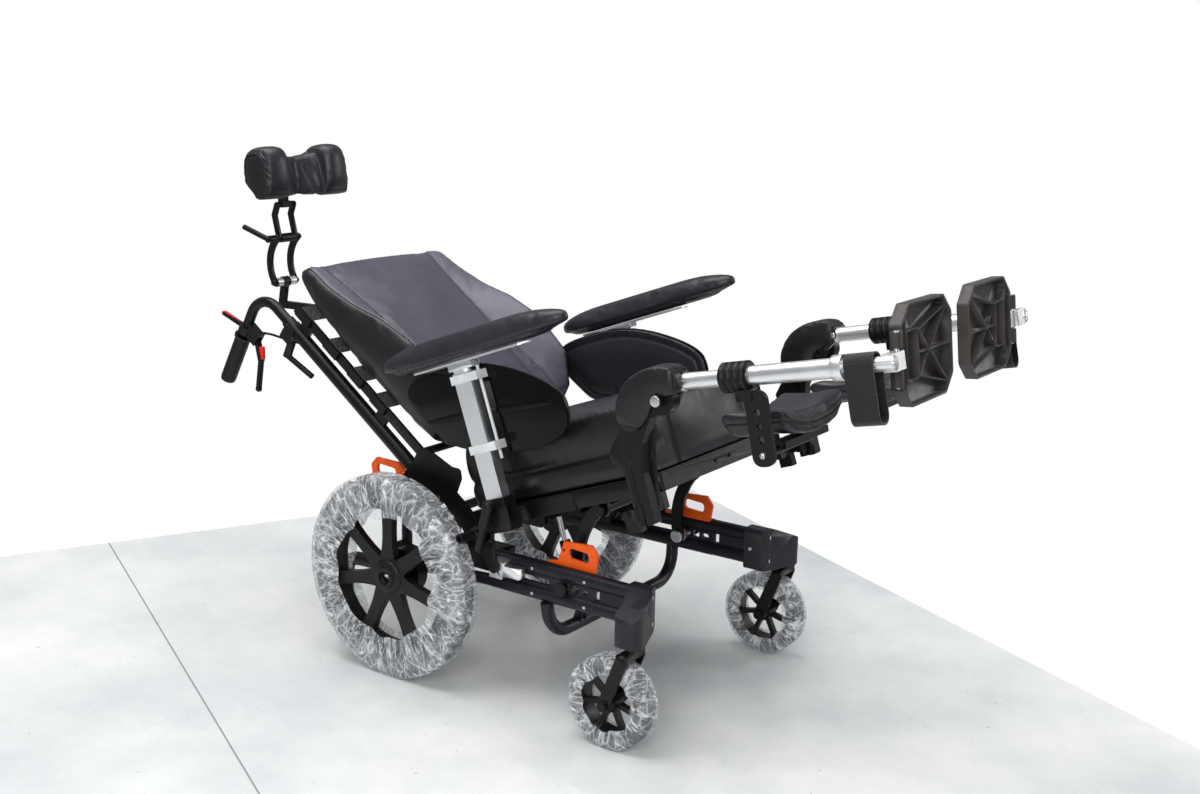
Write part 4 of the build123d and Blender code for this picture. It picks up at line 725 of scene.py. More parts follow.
def tube_mesh(name, runs, radius):
    """Round cords along runs of points, each with whether it closes."""
    curve = bpy.data.curves.new(name, "CURVE")
    curve.dimensions = "3D"
    curve.bevel_depth = radius
    curve.bevel_resolution = 1
    curve.use_fill_caps = True
    for points, closed in runs:
        spline = curve.splines.new("POLY")
        spline.points.add(len(points) - 1)
        for place, point in zip(spline.points, points):
            place.co = (*point, 1.0)
        spline.use_cyclic_u = closed
    holder = linked(name, curve)
    mesh = evaluated(holder)
    bpy.data.objects.remove(holder)
    bpy.data.curves.remove(curve)
    shape = opened(mesh)
    bmesh.ops.remove_doubles(shape, verts=shape.verts, dist=1e-6)
    bmesh.ops.recalc_face_normals(shape, faces=shape.faces)
    bpy.data.meshes.remove(mesh)
    mesh = to_mesh(shape, name)
    smooth(mesh, 60)
    return mesh


thread_radius = 0.0005
thread_lift = 0.0002
stitch_spacing = 1.35


def stitch_mesh(name, runs, length):
    """A row of short threads along each run of points and normals."""
    shape = bmesh.new()
    for points, normals in runs:
        walked = 0.0
        for first, second, normal in zip(points, points[1:], normals):
            walked += (second - first).length
            if walked < length * stitch_spacing:
                continue
            walked = 0.0
            forward = (second - first).normalized()
            sideways = forward.cross(normal).normalized()
            turn = Matrix((sideways, normal, forward)).transposed().to_4x4()
            place = Matrix.Translation(first + normal * thread_lift) @ turn @ Matrix.Diagonal((1, 0.7, 1, 1))
            bmesh.ops.create_cone(shape, cap_ends=True, segments=6, radius1=thread_radius, radius2=thread_radius,
                                  depth=length, matrix=place)
    return to_mesh(shape, name)


cord_lift = 0.3


def upholster(name, shape, place, body, node, finish="leatherette", zones=(), seams=(),
              rests=lambda point, normal: False, voxel=0.005, inset=0.005, cap=0.009, ease=3):
    """Makes a cushion from a plain form: remeshed, drawn in, filled, subdivided, sewn and given its finishes."""
    mesh = to_mesh(shape, name)
    mesh.transform(place.inverted())
    mesh = modified(mesh, "REMESH", mode="VOXEL", voxel_size=voxel, use_smooth_shade=True)
    mesh = softened(mesh, ease)
    held = held_points(mesh, seams, rests, voxel * 0.8)
    moves = [vert.normal * (0.0 if rests(local(vert.co), vert.normal) else -inset) for vert in mesh.vertices]
    for vert, move in zip(mesh.vertices, moves):
        vert.co += move
    mesh.update()
    mesh = softened(inflate(mesh, held, cap), 3)
    mesh = modified(mesh, "SUBSURF", levels=1, render_levels=1)
    before = [(vert.co.copy(), vert.normal.copy()) for vert in mesh.vertices]
    for vert, (point, normal) in zip(mesh.vertices, before):
        here = local(point)
        vert.co = point - normal * sum(seam.dip(here) for seam in seams)
    mesh.update()
    shade_smooth(mesh)
    mesh.name = name
    for face in mesh.polygons:
        centre = local(face.center)
        for number, (_, test) in enumerate(zones, 1):
            if test(centre, face.normal):
                face.material_index = number
    made = sewn(name, mesh, seams)
    return finish_upholstery(name, made, place, body, node, [finish] + [zone[0] for zone in zones])


def sewn(name, mesh, seams):
    """A cover's mesh with the meshes of the piping and stitches along its seams."""
    cord = 0.0
    runs = []
    threads = []
    for seam in seams:
        if not seam.cord and not seam.stitches:
            continue
        for chain, closed in crossings(mesh, seam):
            normals = [normal for _, normal in chain]
            points = eased([point for point, _ in chain], closed)
            if seam.cord:
                cord = cord or seam.cord
                raised = [point + normal * seam.cord * cord_lift for point, normal in zip(points, normals)]
                runs.append((raised, closed))
            if seam.stitches:
                for shift in (-1, 1):
                    threads.append(shifted(points, normals, shift * seam.stitches, closed))
    made = {"cover": mesh}
    if runs:
        made["piping"] = tube_mesh(name + "_piping", runs, cord)
    if threads:
        tree = BVHTree.FromPolygons([vert.co for vert in mesh.vertices],
                                    [face.vertices for face in mesh.polygons])
        laid = []
        for row in threads:
            hits = [tree.find_nearest(point) for point in row]
            laid.append(([hit[0] for hit in hits], [hit[1] for hit in hits]))
        made["stitches"] = stitch_mesh(name + "_stitches", laid, bpy.context.scene.chair_looks.stitch_length)
    return made


def shifted(points, normals, distance, closed):
    """A chain of points moved sideways across the surface."""
    moved = []
    last = len(points) - 1
    for index, (point, normal) in enumerate(zip(points, normals)):
        after = points[(index + 1) % len(points)] if closed else points[min(index + 1, last)]
        before = points[index - 1] if closed or index else point
        moved.append(point + (after - before).cross(normal).normalized() * distance)
    return moved


def finish_upholstery(name, made, place, body, node, finishes):
    """Puts a cushion's cover, piping and stitches in place."""
    cover = place_piece(name, made["cover"], finishes, body, place, stands_for=[node])
    pieces = {"cover": cover}
    for part, finish in (("piping", "piping"), ("stitches", "thread")):
        if part in made:
            pieces[part] = place_piece(f"{name}_{part}", made[part], finish, body, place)
    return pieces


def other_side(pieces, name, body, node):
    """The same cushion on the sitter's left."""
    for part, piece in pieces.items():
        mesh = mirror_mesh(piece.data, f"{name}_{part}")
        shade_smooth(mesh)
        copy = place_piece(name if part == "cover" else f"{name}_{part}", mesh, (), body)
        for material in piece.data.materials:
            if material.name not in mesh.materials:
                mesh.materials.append(material)
        if part == "cover":
            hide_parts(node)


def between(value, stations, column):
    """A column of a table of stations, between its rows."""
    if value <= stations[0][0]:
        return stations[0][column]
    for low, high in zip(stations, stations[1:]):
        if value <= high[0]:
            share = (value - low[0]) / (high[0] - low[0])
            return low[column] + share * (high[column] - low[column])
    return stations[-1][column]


film_points = 15
film_torn = 0.22


def film(name, body, centre, half_width, inner, outer, tatters, steps):
    """Clear film wound round a tyre and part of its rim, tattered at its inner edges."""
    profile = []
    for number in range(2 * film_points + 1):
        share = number / film_points - 1
        bend = min(1.0, abs(share) * 1.32)
        radius = outer - (outer - inner) * max(0.0, (abs(share) - 0.38) / 0.62) ** 1.25
        width = half_width * math.sin(bend * math.pi / 2) ** 0.8 * (1 - 0.14 * max(0.0, abs(share) - 0.7) / 0.3)
        profile.append(Vector((math.copysign(width, share), 0, radius)))
    shape = bmesh.new()
    verts = [shape.verts.new(point) for point in profile]
    edges = [shape.edges.new(pair) for pair in zip(verts, verts[1:])]
    bmesh.ops.spin(shape, geom=verts + edges, cent=(0, 0, 0), axis=(1, 0, 0), angle=2 * math.pi, steps=steps,
                   use_merge=True)
    bmesh.ops.remove_doubles(shape, verts=shape.verts, dist=1e-5)
    bmesh.ops.recalc_face_normals(shape, faces=shape.faces)
    shape.normal_update()
    seed = Vector((centre.x * 7, centre.y * 5, 1.7))
    edge = inner + (outer - inner) * film_torn
    moves = []
    wound = []
    for vert in shape.verts:
        radius = math.hypot(vert.co.y, vert.co.z)
        outward = Vector((0, vert.co.y, vert.co.z)).normalized()
        around = outward * outer
        wound += [vert.co.x * 0.6 + radius * 0.55 + seed.x, around.y, around.z]
        rough = noise.turbulence(vert.co * 38 + seed, 4, True) - 0.4
        fold = noise.noise(Vector((vert.co.x * 25, vert.co.y * 14, vert.co.z * 14)) + seed * 2)
        move = vert.normal * (0.0016 * rough + 0.0014 * max(0.0, fold))
        if radius < edge:
            angle = math.atan2(vert.co.z, vert.co.y)
            pull = noise.noise(Vector((math.cos(angle) * 3.1, math.sin(angle) * 3.1, vert.co.x * 20)) + seed)
            move += outward * tatters * pull * (edge - radius) / (edge - inner)
        moves.append(move)
    for vert, move in zip(shape.verts, moves):
        vert.co += move + centre
        vert.co.z = max(vert.co.z, 0.0004)
    mesh = to_mesh(shape, name)
    mesh.attributes.new("wound", "FLOAT_VECTOR", "POINT").data.foreach_set("vector", wound)
    smooth(mesh, 50)
    return place_piece(name, mesh, "film", body)


# ---------------------------------------------------------------- stage
def turned_camera(azimuth, elevation, roll):
    """Camera axes for an azimuth, an elevation and a roll in degrees."""
    a, e, r = (math.radians(value) for value in (azimuth, elevation, roll))
    back = Vector((math.sin(a) * math.cos(e), -math.cos(a) * math.cos(e), math.sin(e)))
    level = (-back).cross(Vector((0, 0, 1))).normalized()
    upright = level.cross(-back)
    right = math.cos(r) * level + math.sin(r) * upright
    up = -math.sin(r) * level + math.cos(r) * upright
    return Matrix((right, up, back)).transposed().to_4x4()


room_colour = (0.93, 0.96, 1.0, 1.0)
room_strength = 0.36
lamp_table = (  # name, where it stands, what it faces, its size and its power
    ("overhead", (-0.4, 0.6, 3.6), (0.0, 0.0, 0.3), 3.0, 132.0),
    ("window", (-3.4, -1.6, 2.2), (0.0, -0.2, 0.5), 1.8, 66.0),
    ("fill", (2.8, -2.6, 1.9), (0.0, -0.1, 0.5), 1.8, 45.0),
)
sensor_width = 36.0
camera_stand = Vector((-2.2368, -1.8686, 1.1815))
camera_turn = (-54.7567, 12.9325, 1.1338)


def pale_room(scene):
    """Surroundings that light the chair softly and look white behind it."""
    scene.world = bpy.data.worlds.new("pale_room")
    scene.world.use_nodes = True
    tree = scene.world.node_tree
    soft = tree.nodes["Background"]
    soft.inputs[0].default_value = room_colour
    soft.inputs[1].default_value = room_strength
    bright, path, seen, blend = (tree.nodes.new("ShaderNode" + kind)
                                 for kind in ("Background", "LightPath", "Math", "MixShader"))
    bright.inputs[0].default_value = (1, 1, 1, 1)
    seen.operation = "MAXIMUM"
    for source, socket in ((path.outputs["Is Camera Ray"], seen.inputs[0]),
                           (path.outputs["Is Transmission Ray"], seen.inputs[1]),
                           (seen.outputs[0], blend.inputs[0]), (soft.outputs[0], blend.inputs[1]),
                           (bright.outputs[0], blend.inputs[2]),
                           (blend.outputs[0], tree.nodes["World Output"].inputs[0])):
        tree.links.new(source, socket)


class CHAIR_OT_stage(bpy.types.Operator):
    """Floor, pale surroundings, lamps and camera"""

    bl_idname = "chair.stage"
    bl_label = "Stage"

    def execute(self, context):
        scene = context.scene
        looks = scene.chair_looks
        mix_palette(looks)
        scene.view_settings.view_transform = "Standard"
        shape = bmesh.new()
        left, right = floor_left * floor_length, floor_right * floor_length
        corners = [floor_corner, floor_corner + left, floor_corner + left + right, floor_corner + right]
        shape.faces.new([shape.verts.new(corner) for corner in corners])
        floor = linked("floor", to_mesh(shape, "floor"))
        floor.data.materials.append(palette["concrete"])
        pale_room(scene)
        for name, stand, aim, size, power in lamp_table:
            light = bpy.data.lights.new(name, "AREA")
            light.shape = "SQUARE"
            light.size = size
            light.energy = power
            lamp = linked(name, light)
            lamp.location = stand
            lamp.rotation_euler = (Vector(aim) - Vector(stand)).to_track_quat("-Z", "Y").to_euler()
        camera = linked("camera", bpy.data.cameras.new("camera"))
        camera.data.sensor_fit = "HORIZONTAL"
        camera.data.sensor_width = sensor_width
        camera.data.lens = looks.lens
        camera.matrix_world = Matrix.Translation(axle + camera_stand) @ turned_camera(*camera_turn)
        scene.camera = camera
        return {"FINISHED"}


# In the tests below c is a face's centre and size the three extents of its closed shape, in metres.
class CHAIR_OT_chassis(bpy.types.Operator):
    """Beams, tubes, brackets, housings and link of the lower frame"""

    bl_idname = "chair.chassis"
    bl_label = "Chassis"

    def execute(self, context):
        for node in ("side_beams", "arch_tubes", "frame_plates", "cross_tube", "seat_guides", "tie_downs",
                     "caster_housings", "wheel_lock_bases"):
            dress(node, "chassis", slots[node])
        dress("axles_and_bearings", "chassis", "steel", ("black_plastic", lambda c, size: size[2] > 0.06))
        dress("chassis_bolts", "chassis", "steel",
              ("black_plastic", lambda c, size: 0.02 < size[2] and abs(c.x) > 0.222))
        dress("front_links", "front_link", "black_paint")
        dress("strut_cylinder", "strut_cylinder", "black_paint")
        dress("strut_rod", "strut_rod", "chrome")
        for side, _ in sides:
            dress(f"{side}_anti_tipper", f"{side}_anti_tipper", "black_paint",
                  ("rubber", lambda c, size: max(size) < 0.05))
            dress(f"{side}_wheel_lock", f"{side}_wheel_lock", "black_plastic")
        return {"FINISHED"}


rim_depth = 0.079
caster_rim = 0.052
caster_tread = 0.0635
film_lift = 0.0006


class CHAIR_OT_wheels(bpy.types.Operator):
    """Rear wheels, casters, tyres and the film round them"""

    bl_idname = "chair.wheels"
    bl_label = "Wheels"

    def execute(self, context):
        for side, _ in sides:
            wheel = joint_point(f"{side}_wheel_spin")
            caster = joint_point(f"{side}_caster_spin")
            dress(f"{side}_rear_wheel", f"{side}_rear_wheel", "black_plastic")
            dress(f"{side}_rear_tyre", f"{side}_rear_wheel", "tyre")
            dress(f"{side}_caster_fork", f"{side}_caster_fork", "black_paint")

            def tread(c, size, hub=caster):
                return math.hypot(c.y + hub.y, c.z - hub.z) > caster_tread

            dress(f"{side}_caster_wheel", f"{side}_caster_wheel", "black_plastic", ("tyre", tread))
            film(f"{side}_rear_film", f"{side}_rear_wheel", wheel, 0.0245, wheel.z - rim_depth, wheel.z + film_lift,
                 0.016, 220)
            film(f"{side}_caster_film", f"{side}_caster_wheel", caster, 0.0232, caster_rim, caster.z + film_lift,
                 0.007, 140)
        return {"FINISHED"}


guard_inner = 0.236
guard_outer = 0.241
guard_ridge = ((-0.034, 0.228), (0.120, 0.224), (0.282, 0.206), (0.282, 0.196), (0.120, 0.211), (-0.022, 0.214))
guard_outline = ((-0.066, 0.272), (-0.052, 0.303), (0.002, 0.315), (0.150, 0.311), (0.300, 0.232), (0.312, 0.176),
                 (0.282, 0.132), (0.134, 0.129), (0.012, 0.168), (-0.018, 0.205))


class CHAIR_OT_seat(bpy.types.Operator):
    """Seat rails, platform, posts, clamps and guards"""

    bl_idname = "chair.seat"
    bl_label = "Seat frame"

    def execute(self, context):
        for node in ("seat_rails", "seat_platform", "legrest_receivers", "armrest_sockets", "armrest_posts",
                     "post_clamps"):
            dress(node, "seat", slots[node])
        for side, _ in sides:
            dress(f"{side}_armrest", f"{side}_armrest", "aluminium", drop=lambda c, size: size[0] > 0.06)
        look = (40, "gloss_black", "seat", "gloss_black", seat_place)
        for side, sign in sides:
            shell = side_panel(guard_outline, sign * guard_inner, sign * guard_outer, 3)
            place_shape(f"{side}_guard_shell", bevelled(shell, 0.0016, 2, 1.2), *look, ["side_guards"])
            ridge = side_panel(guard_ridge, sign * (guard_outer - 0.001), sign * (guard_outer + 0.0022), 2)
            place_shape(f"{side}_guard_ridge", bevelled(ridge, 0.0014, 3, 1.2), *look)
        return {"FINISHED"}


class CHAIR_OT_seat_cushion(bpy.types.Operator):
    """Seat cushion with its boxed sides and sewn channels"""

    bl_idname = "chair.seat_cushion"
    bl_label = "Seat cushion"

    def execute(self, context):
        base, crease, welt, channel = 0.046, 0.088, 0.161, 0.130
        seams = [
            Seam(lambda p: p.z - crease, lambda p: abs(p.x) > 0.19, depth=0.0035, width=0.006, gather=0.0007,
                 pitch=0.030, along=along_chair),
            Seam(lambda p: p.z - welt, depth=0.0012, width=0.005, gather=0.0006, pitch=0.018, along=girth),
            Seam(lambda p: abs(p.x) - channel, lambda p: p.y > 0.41 or p.z > 0.158, depth=0.003, width=0.005,
                 stitches=0.0028),
        ]
        # the cushion's sides below the welt are painted darker than its top: painted shade, as the light falls from
        # above
        upholster("seat_cushion_cover", merged("seat_cushion"), seat_place, "seat", "seat_cushion",
                  "quiet_leatherette", zones=[("dark_leatherette", lambda c, n: abs(c.x) > 0.17 and c.z < welt)],
                  seams=seams, rests=lambda p, n: p.z < base and n.z < -0.4, cap=0.011)
        return {"FINISHED"}


# up, front, rear and half the width
back_stations = ((0.178, 0.096, 0.046, 0.196), (0.190, 0.120, 0.044, 0.212), (0.245, 0.168, 0.038, 0.219),
                 (0.345, 0.180, 0.034, 0.220), (0.430, 0.162, 0.032, 0.220), (0.504, 0.133, 0.036, 0.219),
                 (0.576, 0.115, 0.045, 0.218), (0.640, 0.108, 0.060, 0.213), (0.660, 0.096, 0.066, 0.202))


class CHAIR_OT_back_cushion(bpy.types.Operator):
    """Back cushion with its face, side bands and gusset"""

    bl_idname = "chair.back_cushion"
    bl_label = "Back cushion"

    def execute(self, context):
        crown, foot = 0.652, 0.186

        def gusset(p):
            front, rear = (between(p.z, back_stations, column) for column in (1, 2))
            return p.y - rear - 0.84 * (front - rear)

        def side(p):
            return abs(p.x) - between(p.z, back_stations, 3) + 0.019

        def band(p):
            narrow = 0.026 * math.cos(min(1.0, abs(p.z - 0.40) / 0.26) * math.pi / 2)
            return abs(p.x) - 0.163 + narrow

        def face(p):
            return p.y > 0.085

        def rests(p, n):
            return p.y < 0.030 and n.y > 0.6

        seams = [
            Seam(band, face, depth=0.0011, width=0.0040, stitches=0.0026),
            Seam(side, face, depth=0.0014, width=0.0035, gather=0.0007, pitch=0.018, cord=0.0011),
            *(Seam(lambda p, end=end: p.z - end, lambda p: p.y > 0.05, depth=0.0012, width=0.004, gather=0.0006,
                   pitch=0.018, along=across) for end in (crown, foot)),
        ]
        # painted shade: the sides and the gusset's ends are darker; painted highlight: the bands on the face are
        # lighter
        zones = [("dark_leatherette", lambda c, n: side(c) > 0 or gusset(c) < 0 and (c.z > crown or c.z < foot)),
                 ("pale_leatherette", lambda c, n: 0 < band(c) and side(c) < 0 and face(c))]
        upholster("back_cushion_cover", merged("back_cushion"), back_place, "back", "back_cushion", zones=zones,
                  seams=seams, rests=rests, cap=0.012)
        return {"FINISHED"}


def powered(value, exponent):
    """A power that keeps its sign."""
    return math.copysign(abs(value) ** exponent, value)


turns = [2 * math.pi * step / 28 for step in range(28)]
# across, front, rear, top and how far the section stands forward at its foot, from the middle out
headrest_middle = (0.0, 0.000, -0.042, 0.038, 0.026)
headrest_half = ((0.036, 0.008, -0.044, 0.042, 0.022), (0.050, 0.034, -0.046, 0.050, 0.008),
                 (0.062, 0.048, -0.048, 0.059, 0.0), (0.082, 0.051, -0.050, 0.062, 0.0),
                 (0.104, 0.047, -0.050, 0.060, 0.0), (0.119, 0.038, -0.046, 0.052, 0.004),
                 (0.1245, 0.026, -0.036, 0.040, 0.010))
headrest_stations = (*((-x, *rest) for x, *rest in reversed(headrest_half)), headrest_middle, *headrest_half)
headrest_foot = -0.056
headrest_lobe = 0.047
headrest_end = 0.117


def headrest_section(x, front, rear, crown, foot):
    """A loop of the headrest: flat below, round above, its foot standing further forward in the middle."""
    points = []
    for turn in turns:
        forward = (front + rear) / 2 + (front - rear) / 2 * powered(math.cos(turn), 0.62)
        up = (crown + headrest_foot) / 2 + (crown - headrest_foot) / 2 * powered(math.sin(turn), 0.72)
        share = (crown - up) / (crown - headrest_foot)
        if forward > 0:
            forward += foot * share ** 1.5
        up = max(up, headrest_foot - 0.95 * (forward + 0.004))
        points.append(spot(x, forward, up))
    return points


class CHAIR_OT_headrest(bpy.types.Operator):
    """Headrest bars and the pad with its two lobes"""

    bl_idname = "chair.headrest"
    bl_label = "Headrest"

    def execute(self, context):
        dress("headrest_bar", "headrest_bar", "black_paint")
        dress("headrest_middle_bars", "headrest_middle", "black_paint",
              ("aluminium", lambda c, size: abs(c.x) < 0.0268))
        dress("headrest_upper_bars", "headrest_upper", "black_paint")
        dress("headrest_pad", "headrest_pad", "black_paint", drop=lambda c, size: size[0] > 0.2)
        low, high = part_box("headrest_pad")
        pad = Matrix.Translation(Vector((0, low[1] + 0.0535, (low[2] + high[2]) / 2 + 0.009))) @ tipped(6.0)
        shape = loft([headrest_section(*station) for station in headrest_stations])
        shape.transform(pad)
        seams = [
            Seam(lambda p: abs(p.x) - headrest_lobe, lambda p: p.y > -0.02, depth=0.004, width=0.005,
                 stitches=0.0028),
            Seam(lambda p: abs(p.x) - headrest_end, depth=0.002, width=0.004, gather=0.0014, pitch=0.016,
                 along=lambda p: p.y + p.z, cord=0.0019),
            Seam(lambda p: abs(p.x) + p.z * 0.25, lambda p: abs(p.x) < headrest_lobe and p.y > 0, depth=0.0,
                 width=0.024, gather=0.0030, pitch=0.014, along=lambda p: p.x + 0.2 * p.z),
        ]
        # the headrest's ends are painted darker than its face: painted shade on its sides
        upholster("headrest_cover", shape, pad, "headrest_pad", "headrest_pad", "quiet_leatherette",
                  zones=[("dark_leatherette", lambda c, n: abs(c.x) > headrest_end)], seams=seams, voxel=0.004,
                  inset=0.004, cap=0.007, rests=lambda p, n: p.z < -0.048 and n.z < -0.6, ease=2)
        return {"FINISHED"}


pad_length, pad_half, pad_base, pad_rise = 0.456, 0.040, 0.3195, 0.046
pad_middle = -0.282
pad_rear = -0.057
pad_hem = 0.3275
pad_sections = 24


def arm_pad_section(share):
    """A loop of the right arm pad at a share of its length: flatter below, drawn in at both ends."""
    nose = min(1.0, share / 0.16, (1 - share) / 0.24)
    swell = (1 - (1 - nose) ** 2.2) ** 0.5
    width = pad_half * swell * (1.0 if share < 0.55 else 1 - 0.10 * (share - 0.55) / 0.45)
    middle = pad_base + pad_rise * (0.5 - 0.06 * (1 - swell))
    tall = pad_rise / 2 * (0.25 + 0.75 * swell)
    points = []
    for turn in turns:
        up = math.sin(turn)
        lift = tall * (up if up > 0 else powered(up, 0.55))
        points.append(spot(pad_middle + width * powered(math.cos(turn), 0.7), pad_rear + pad_length * share,
                           middle + lift))
    return points


class CHAIR_OT_arm_pads(bpy.types.Operator):
    """Arm pads with their gathered lower edge"""

    bl_idname = "chair.arm_pads"
    bl_label = "Arm pads"

    def execute(self, context):
        seams = [Seam(lambda p: p.z - pad_hem, depth=0.0014, width=0.0035, gather=0.0010, pitch=0.013, along=girth)]
        shape = loft([arm_pad_section(0.5 - 0.499 * math.cos(math.pi * step / pad_sections))
                      for step in range(pad_sections + 1)])
        shape.transform(seat_place)
        pad = upholster("right_arm_pad", shape, seat_place, "right_armrest", "right_armrest", "quiet_leatherette",
                        seams=seams, voxel=0.0045, inset=0.003, cap=0.006,
                        rests=lambda p, n: p.z < 0.322 and n.z < -0.4)
        other_side(pad, "left_arm_pad", "left_armrest", "left_armrest")
        return {"FINISHED"}


def edge_distance(point, outline):
    """How far a point is from an outline, seen across the chair."""
    here = Vector((point.y, point.z))
    best = 1.0
    for first, second in zip(outline, outline[1:] + outline[:1]):
        start, side = Vector(first), Vector(second) - Vector(first)
        share = max(0.0, min(1.0, (here - start).dot(side) / side.length_squared))
        best = min(best, (here - start - side * share).length)
    return best


class CHAIR_OT_guard_pads(bpy.types.Operator):
    """Padding inside the side guards, bound at its edge"""

    bl_idname = "chair.guard_pads"
    bl_label = "Guard pads"

    def execute(self, context):
        outline = rounded_outline(guard_outline, 2)

        def inner(p):
            return abs(p.x) < 0.2335

        seams = [
            Seam(lambda p: edge_distance(p, outline) - 0.005, inner, depth=0.0004, width=0.004, cord=0.0016),
            Seam(lambda p: edge_distance(p, outline) - 0.017, inner, depth=0.0022, width=0.004, stitches=0.0022),
        ]
        for side, sign in sides:
            shape = side_panel(guard_outline, sign * (guard_inner - 0.010), sign * (guard_inner - 0.0002), 3)
            shape.transform(seat_place)
            upholster(f"{side}_guard_pad", shape, seat_place, "seat", "side_guards", "quiet_leatherette", seams=seams,
                      voxel=0.0035, inset=0.0015, cap=0.004, rests=lambda p, n: abs(p.x) > 0.2345)
        return {"FINISHED"}


class CHAIR_OT_legrests(bpy.types.Operator):
    """Hangers, leg tubes, clamps, plates, heel straps and footplates"""

    bl_idname = "chair.legrests"
    bl_label = "Legrests"

    def execute(self, context):
        for side, _ in sides:
            dress(f"{side}_hanger", f"{side}_hanger", "black_paint", drop=lambda c, size: size[2] < 0.2)
            dress(f"{side}_leg_tube", f"{side}_leg", "aluminium",
                  ("black_plastic", lambda c, size: size[0] < 0.012 or 0.045 < size[0] < 0.055 or c.y < 0.030),
                  ("steel", lambda c, size: max(size) < 0.03), place=leg_place)
            dress(f"{side}_calf_pad", f"{side}_calf_pad", "black_paint", drop=lambda c, size: size[2] > 0.06)
            dress(f"{side}_foot_tube", f"{side}_foot", "aluminium",
                  ("webbing", lambda c, size: size[2] > 0.11),
                  ("black_plastic", lambda c, size: max(size) < 0.03))
            dress(f"{side}_footplate", f"{side}_footplate", "grey_plastic")
        return {"FINISHED"}


calf_middle = -0.155
calf_reach = 0.107


class CHAIR_OT_calf_pads(bpy.types.Operator):
    """Calf pads with piping round their faces"""

    bl_idname = "chair.calf_pads"
    bl_label = "Calf pads"

    def execute(self, context):
        def top(p):
            bow = max(0.0, 1 - ((p.x - calf_middle) / calf_reach) ** 2)
            return -0.028 - 0.021 * bow

        seams = [Seam(lambda p: p.z - top(p) + 0.026, depth=0.0016, width=0.004, gather=0.0007, pitch=0.016,
                      along=girth, cord=0.0016)]
        pad = upholster("right_calf_cover", merged("right_calf_pad", lambda size: size[2] > 0.06), leg_place,
                        "right_calf_pad", "right_calf_pad", "quiet_leatherette", seams=seams, voxel=0.0045,
                        inset=0.003, cap=0.006, rests=lambda p, n: p.z < top(p) - 0.036 and n.z < -0.5)
        other_side(pad, "left_calf_cover", "left_calf_pad", "left_calf_pad")
        return {"FINISHED"}


cover_inner = 0.258
cover_outer = 0.314
cover_outline = ((0.452, 0.140), (0.462, 0.182), (0.498, 0.214), (0.546, 0.223), (0.592, 0.212), (0.600, 0.188),
                 (0.590, 0.160), (0.562, 0.164), (0.538, 0.156), (0.520, 0.138), (0.494, 0.116), (0.466, 0.122))
cover_mouths = (((0.600, 0.212), (0.592, 0.160)), ((0.452, 0.132), (0.496, 0.114)))
bolt_radius = 0.0095
bolt_depth = 0.005


class CHAIR_OT_knee_covers(bpy.types.Operator):
    """Soft covers over the knee joints"""

    bl_idname = "chair.knee_covers"
    bl_label = "Knee covers"

    def execute(self, context):
        def elbow(p):
            return abs(p.x) - (cover_inner + cover_outer) / 2

        def cuff(p):
            return min(edge_distance(p, mouth) for mouth in cover_mouths) - 0.009

        seams = [
            Seam(elbow, depth=0.0012, width=0.003, gather=0.0006, pitch=0.014, along=along_chair, stitches=0.0022),
            Seam(cuff, depth=0.0016, width=0.0035, gather=0.0010, pitch=0.009, along=across, cord=0.0014),
        ]
        for side, sign in sides:
            hanger = f"{side}_hanger"
            shape = side_panel(cover_outline, sign * cover_inner, sign * cover_outer, 2)
            shape.transform(seat_place)
            upholster(f"{side}_knee_cover", shape, seat_place, hanger, hanger, "dark_leatherette", seams=seams,
                      voxel=0.003, inset=0.003, cap=0.007, ease=10)
            head = bmesh.new()
            middle = Matrix.Translation(spot(sign * (cover_outer + 0.001), knee_forward, knee_up))
            bmesh.ops.create_cone(head, cap_ends=True, segments=32, radius1=bolt_radius, radius2=bolt_radius,
                                  depth=bolt_depth, matrix=middle @ Matrix.Rotation(math.pi / 2, 4, "Y"))
            place_shape(f"{side}_knee_bolt_head", bevelled(head, 0.0012, 3, 1.0), 50, "steel", hanger, "steel",
                        seat_place)
        return {"FINISHED"}


lock_tab = (0.009, 0.015, 0.028)
lock_shift = Vector((0, -0.012, -0.026))


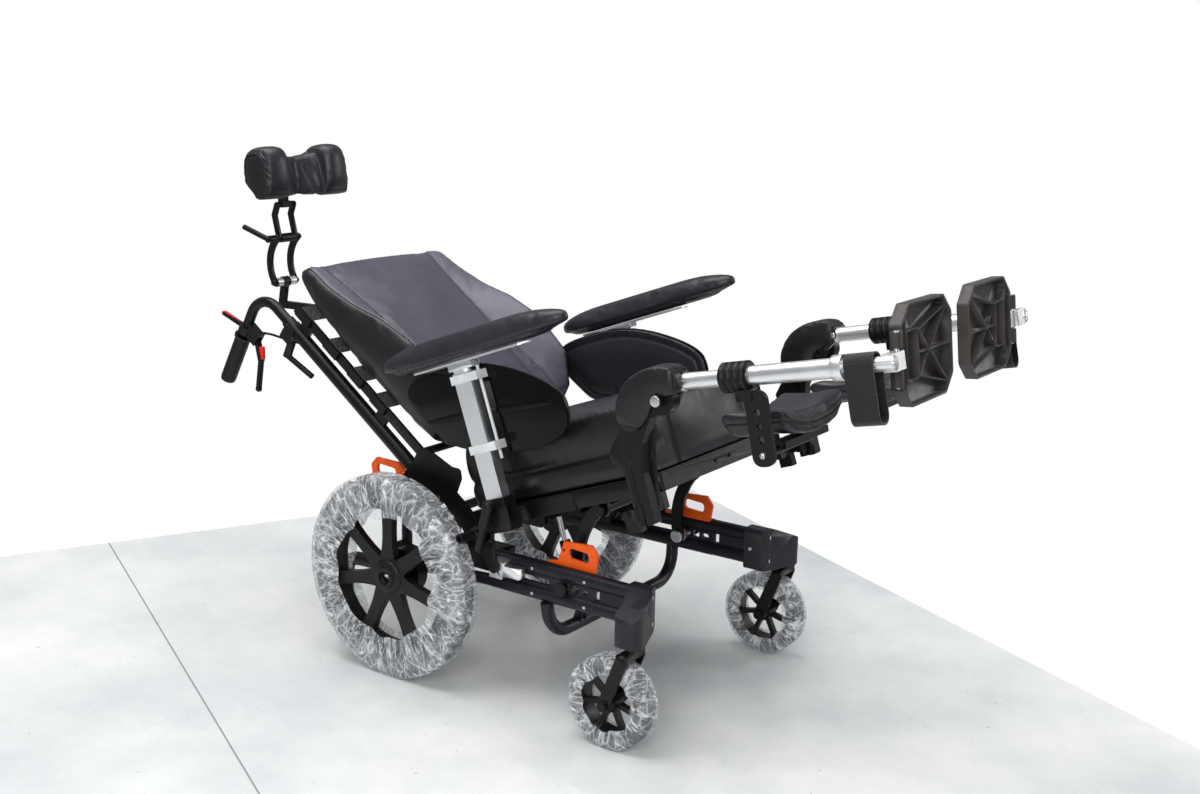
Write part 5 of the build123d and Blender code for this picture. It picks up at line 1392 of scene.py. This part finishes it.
class CHAIR_OT_back(bpy.types.Operator):
    """Back posts, brackets, straps, cables, handles and levers"""

    bl_idname = "chair.back"
    bl_label = "Back frame"

    def execute(self, context):
        for node in ("back_posts", "back_brackets", "post_clamp_levers", "back_frame", "brake_cables"):
            dress(node, "back", slots[node])
        dress("back_straps", "back", "webbing", ("black_plastic", lambda c, size: size[0] < 0.05))
        for side, _ in sides:
            dress(f"{side}_push_handle", f"{side}_handle", "black_paint",
                  ("rubber", lambda c, size: size[2] > 0.1 and size[1] < 0.1),
                  ("black_plastic", lambda c, size: size[0] > 0.03),
                  ("red_plastic", lambda c, size: size[0] < 0.012 and c.z > 0.764), place=back_place)
            dress(f"{side}_brake_lever", f"{side}_brake_lever", "black_plastic")
            tab = bmesh.new()
            place = Matrix.Translation(joint_point(f"{side}_brake_squeeze") + lock_shift)
            bmesh.ops.create_cube(tab, size=1.0, matrix=place @ Matrix.Diagonal((*lock_tab, 1)))
            place_shape(f"{side}_brake_lock_tab", bevelled(tab, 0.003, 3), 50, "red_plastic", f"{side}_handle",
                        "black_plastic")
        return {"FINISHED"}


class CHAIR_PT_panel(bpy.types.Panel):
    """Lists the chair's sizes, colours and pieces"""

    bl_idname = "CHAIR_PT_panel"
    bl_label = "Wheelchair"
    bl_space_type = "VIEW_3D"
    bl_region_type = "UI"
    bl_category = "Wheelchair"

    def draw(self, context):
        looks = context.scene.chair_looks
        for name in ChairLooks.__annotations__:
            self.layout.prop(looks, name)
        for operator in operators:
            self.layout.operator(operator.bl_idname)


operators = (CHAIR_OT_stage, CHAIR_OT_chassis, CHAIR_OT_wheels, CHAIR_OT_seat, CHAIR_OT_seat_cushion, CHAIR_OT_back,
             CHAIR_OT_back_cushion, CHAIR_OT_headrest, CHAIR_OT_arm_pads, CHAIR_OT_guard_pads, CHAIR_OT_legrests,
             CHAIR_OT_calf_pads, CHAIR_OT_knee_covers)
classes = (ChairLooks, *operators, CHAIR_PT_panel)


def register():
    for one in classes:
        bpy.utils.register_class(one)
    bpy.types.Scene.chair_looks = PointerProperty(type=ChairLooks)


def unregister():
    del bpy.types.Scene.chair_looks
    for one in reversed(classes):
        bpy.utils.unregister_class(one)


def main():
    register()
    for operator in operators:
        getattr(bpy.ops.chair, operator.bl_idname.split(".")[1])()


if __name__ == "__main__":
    main()
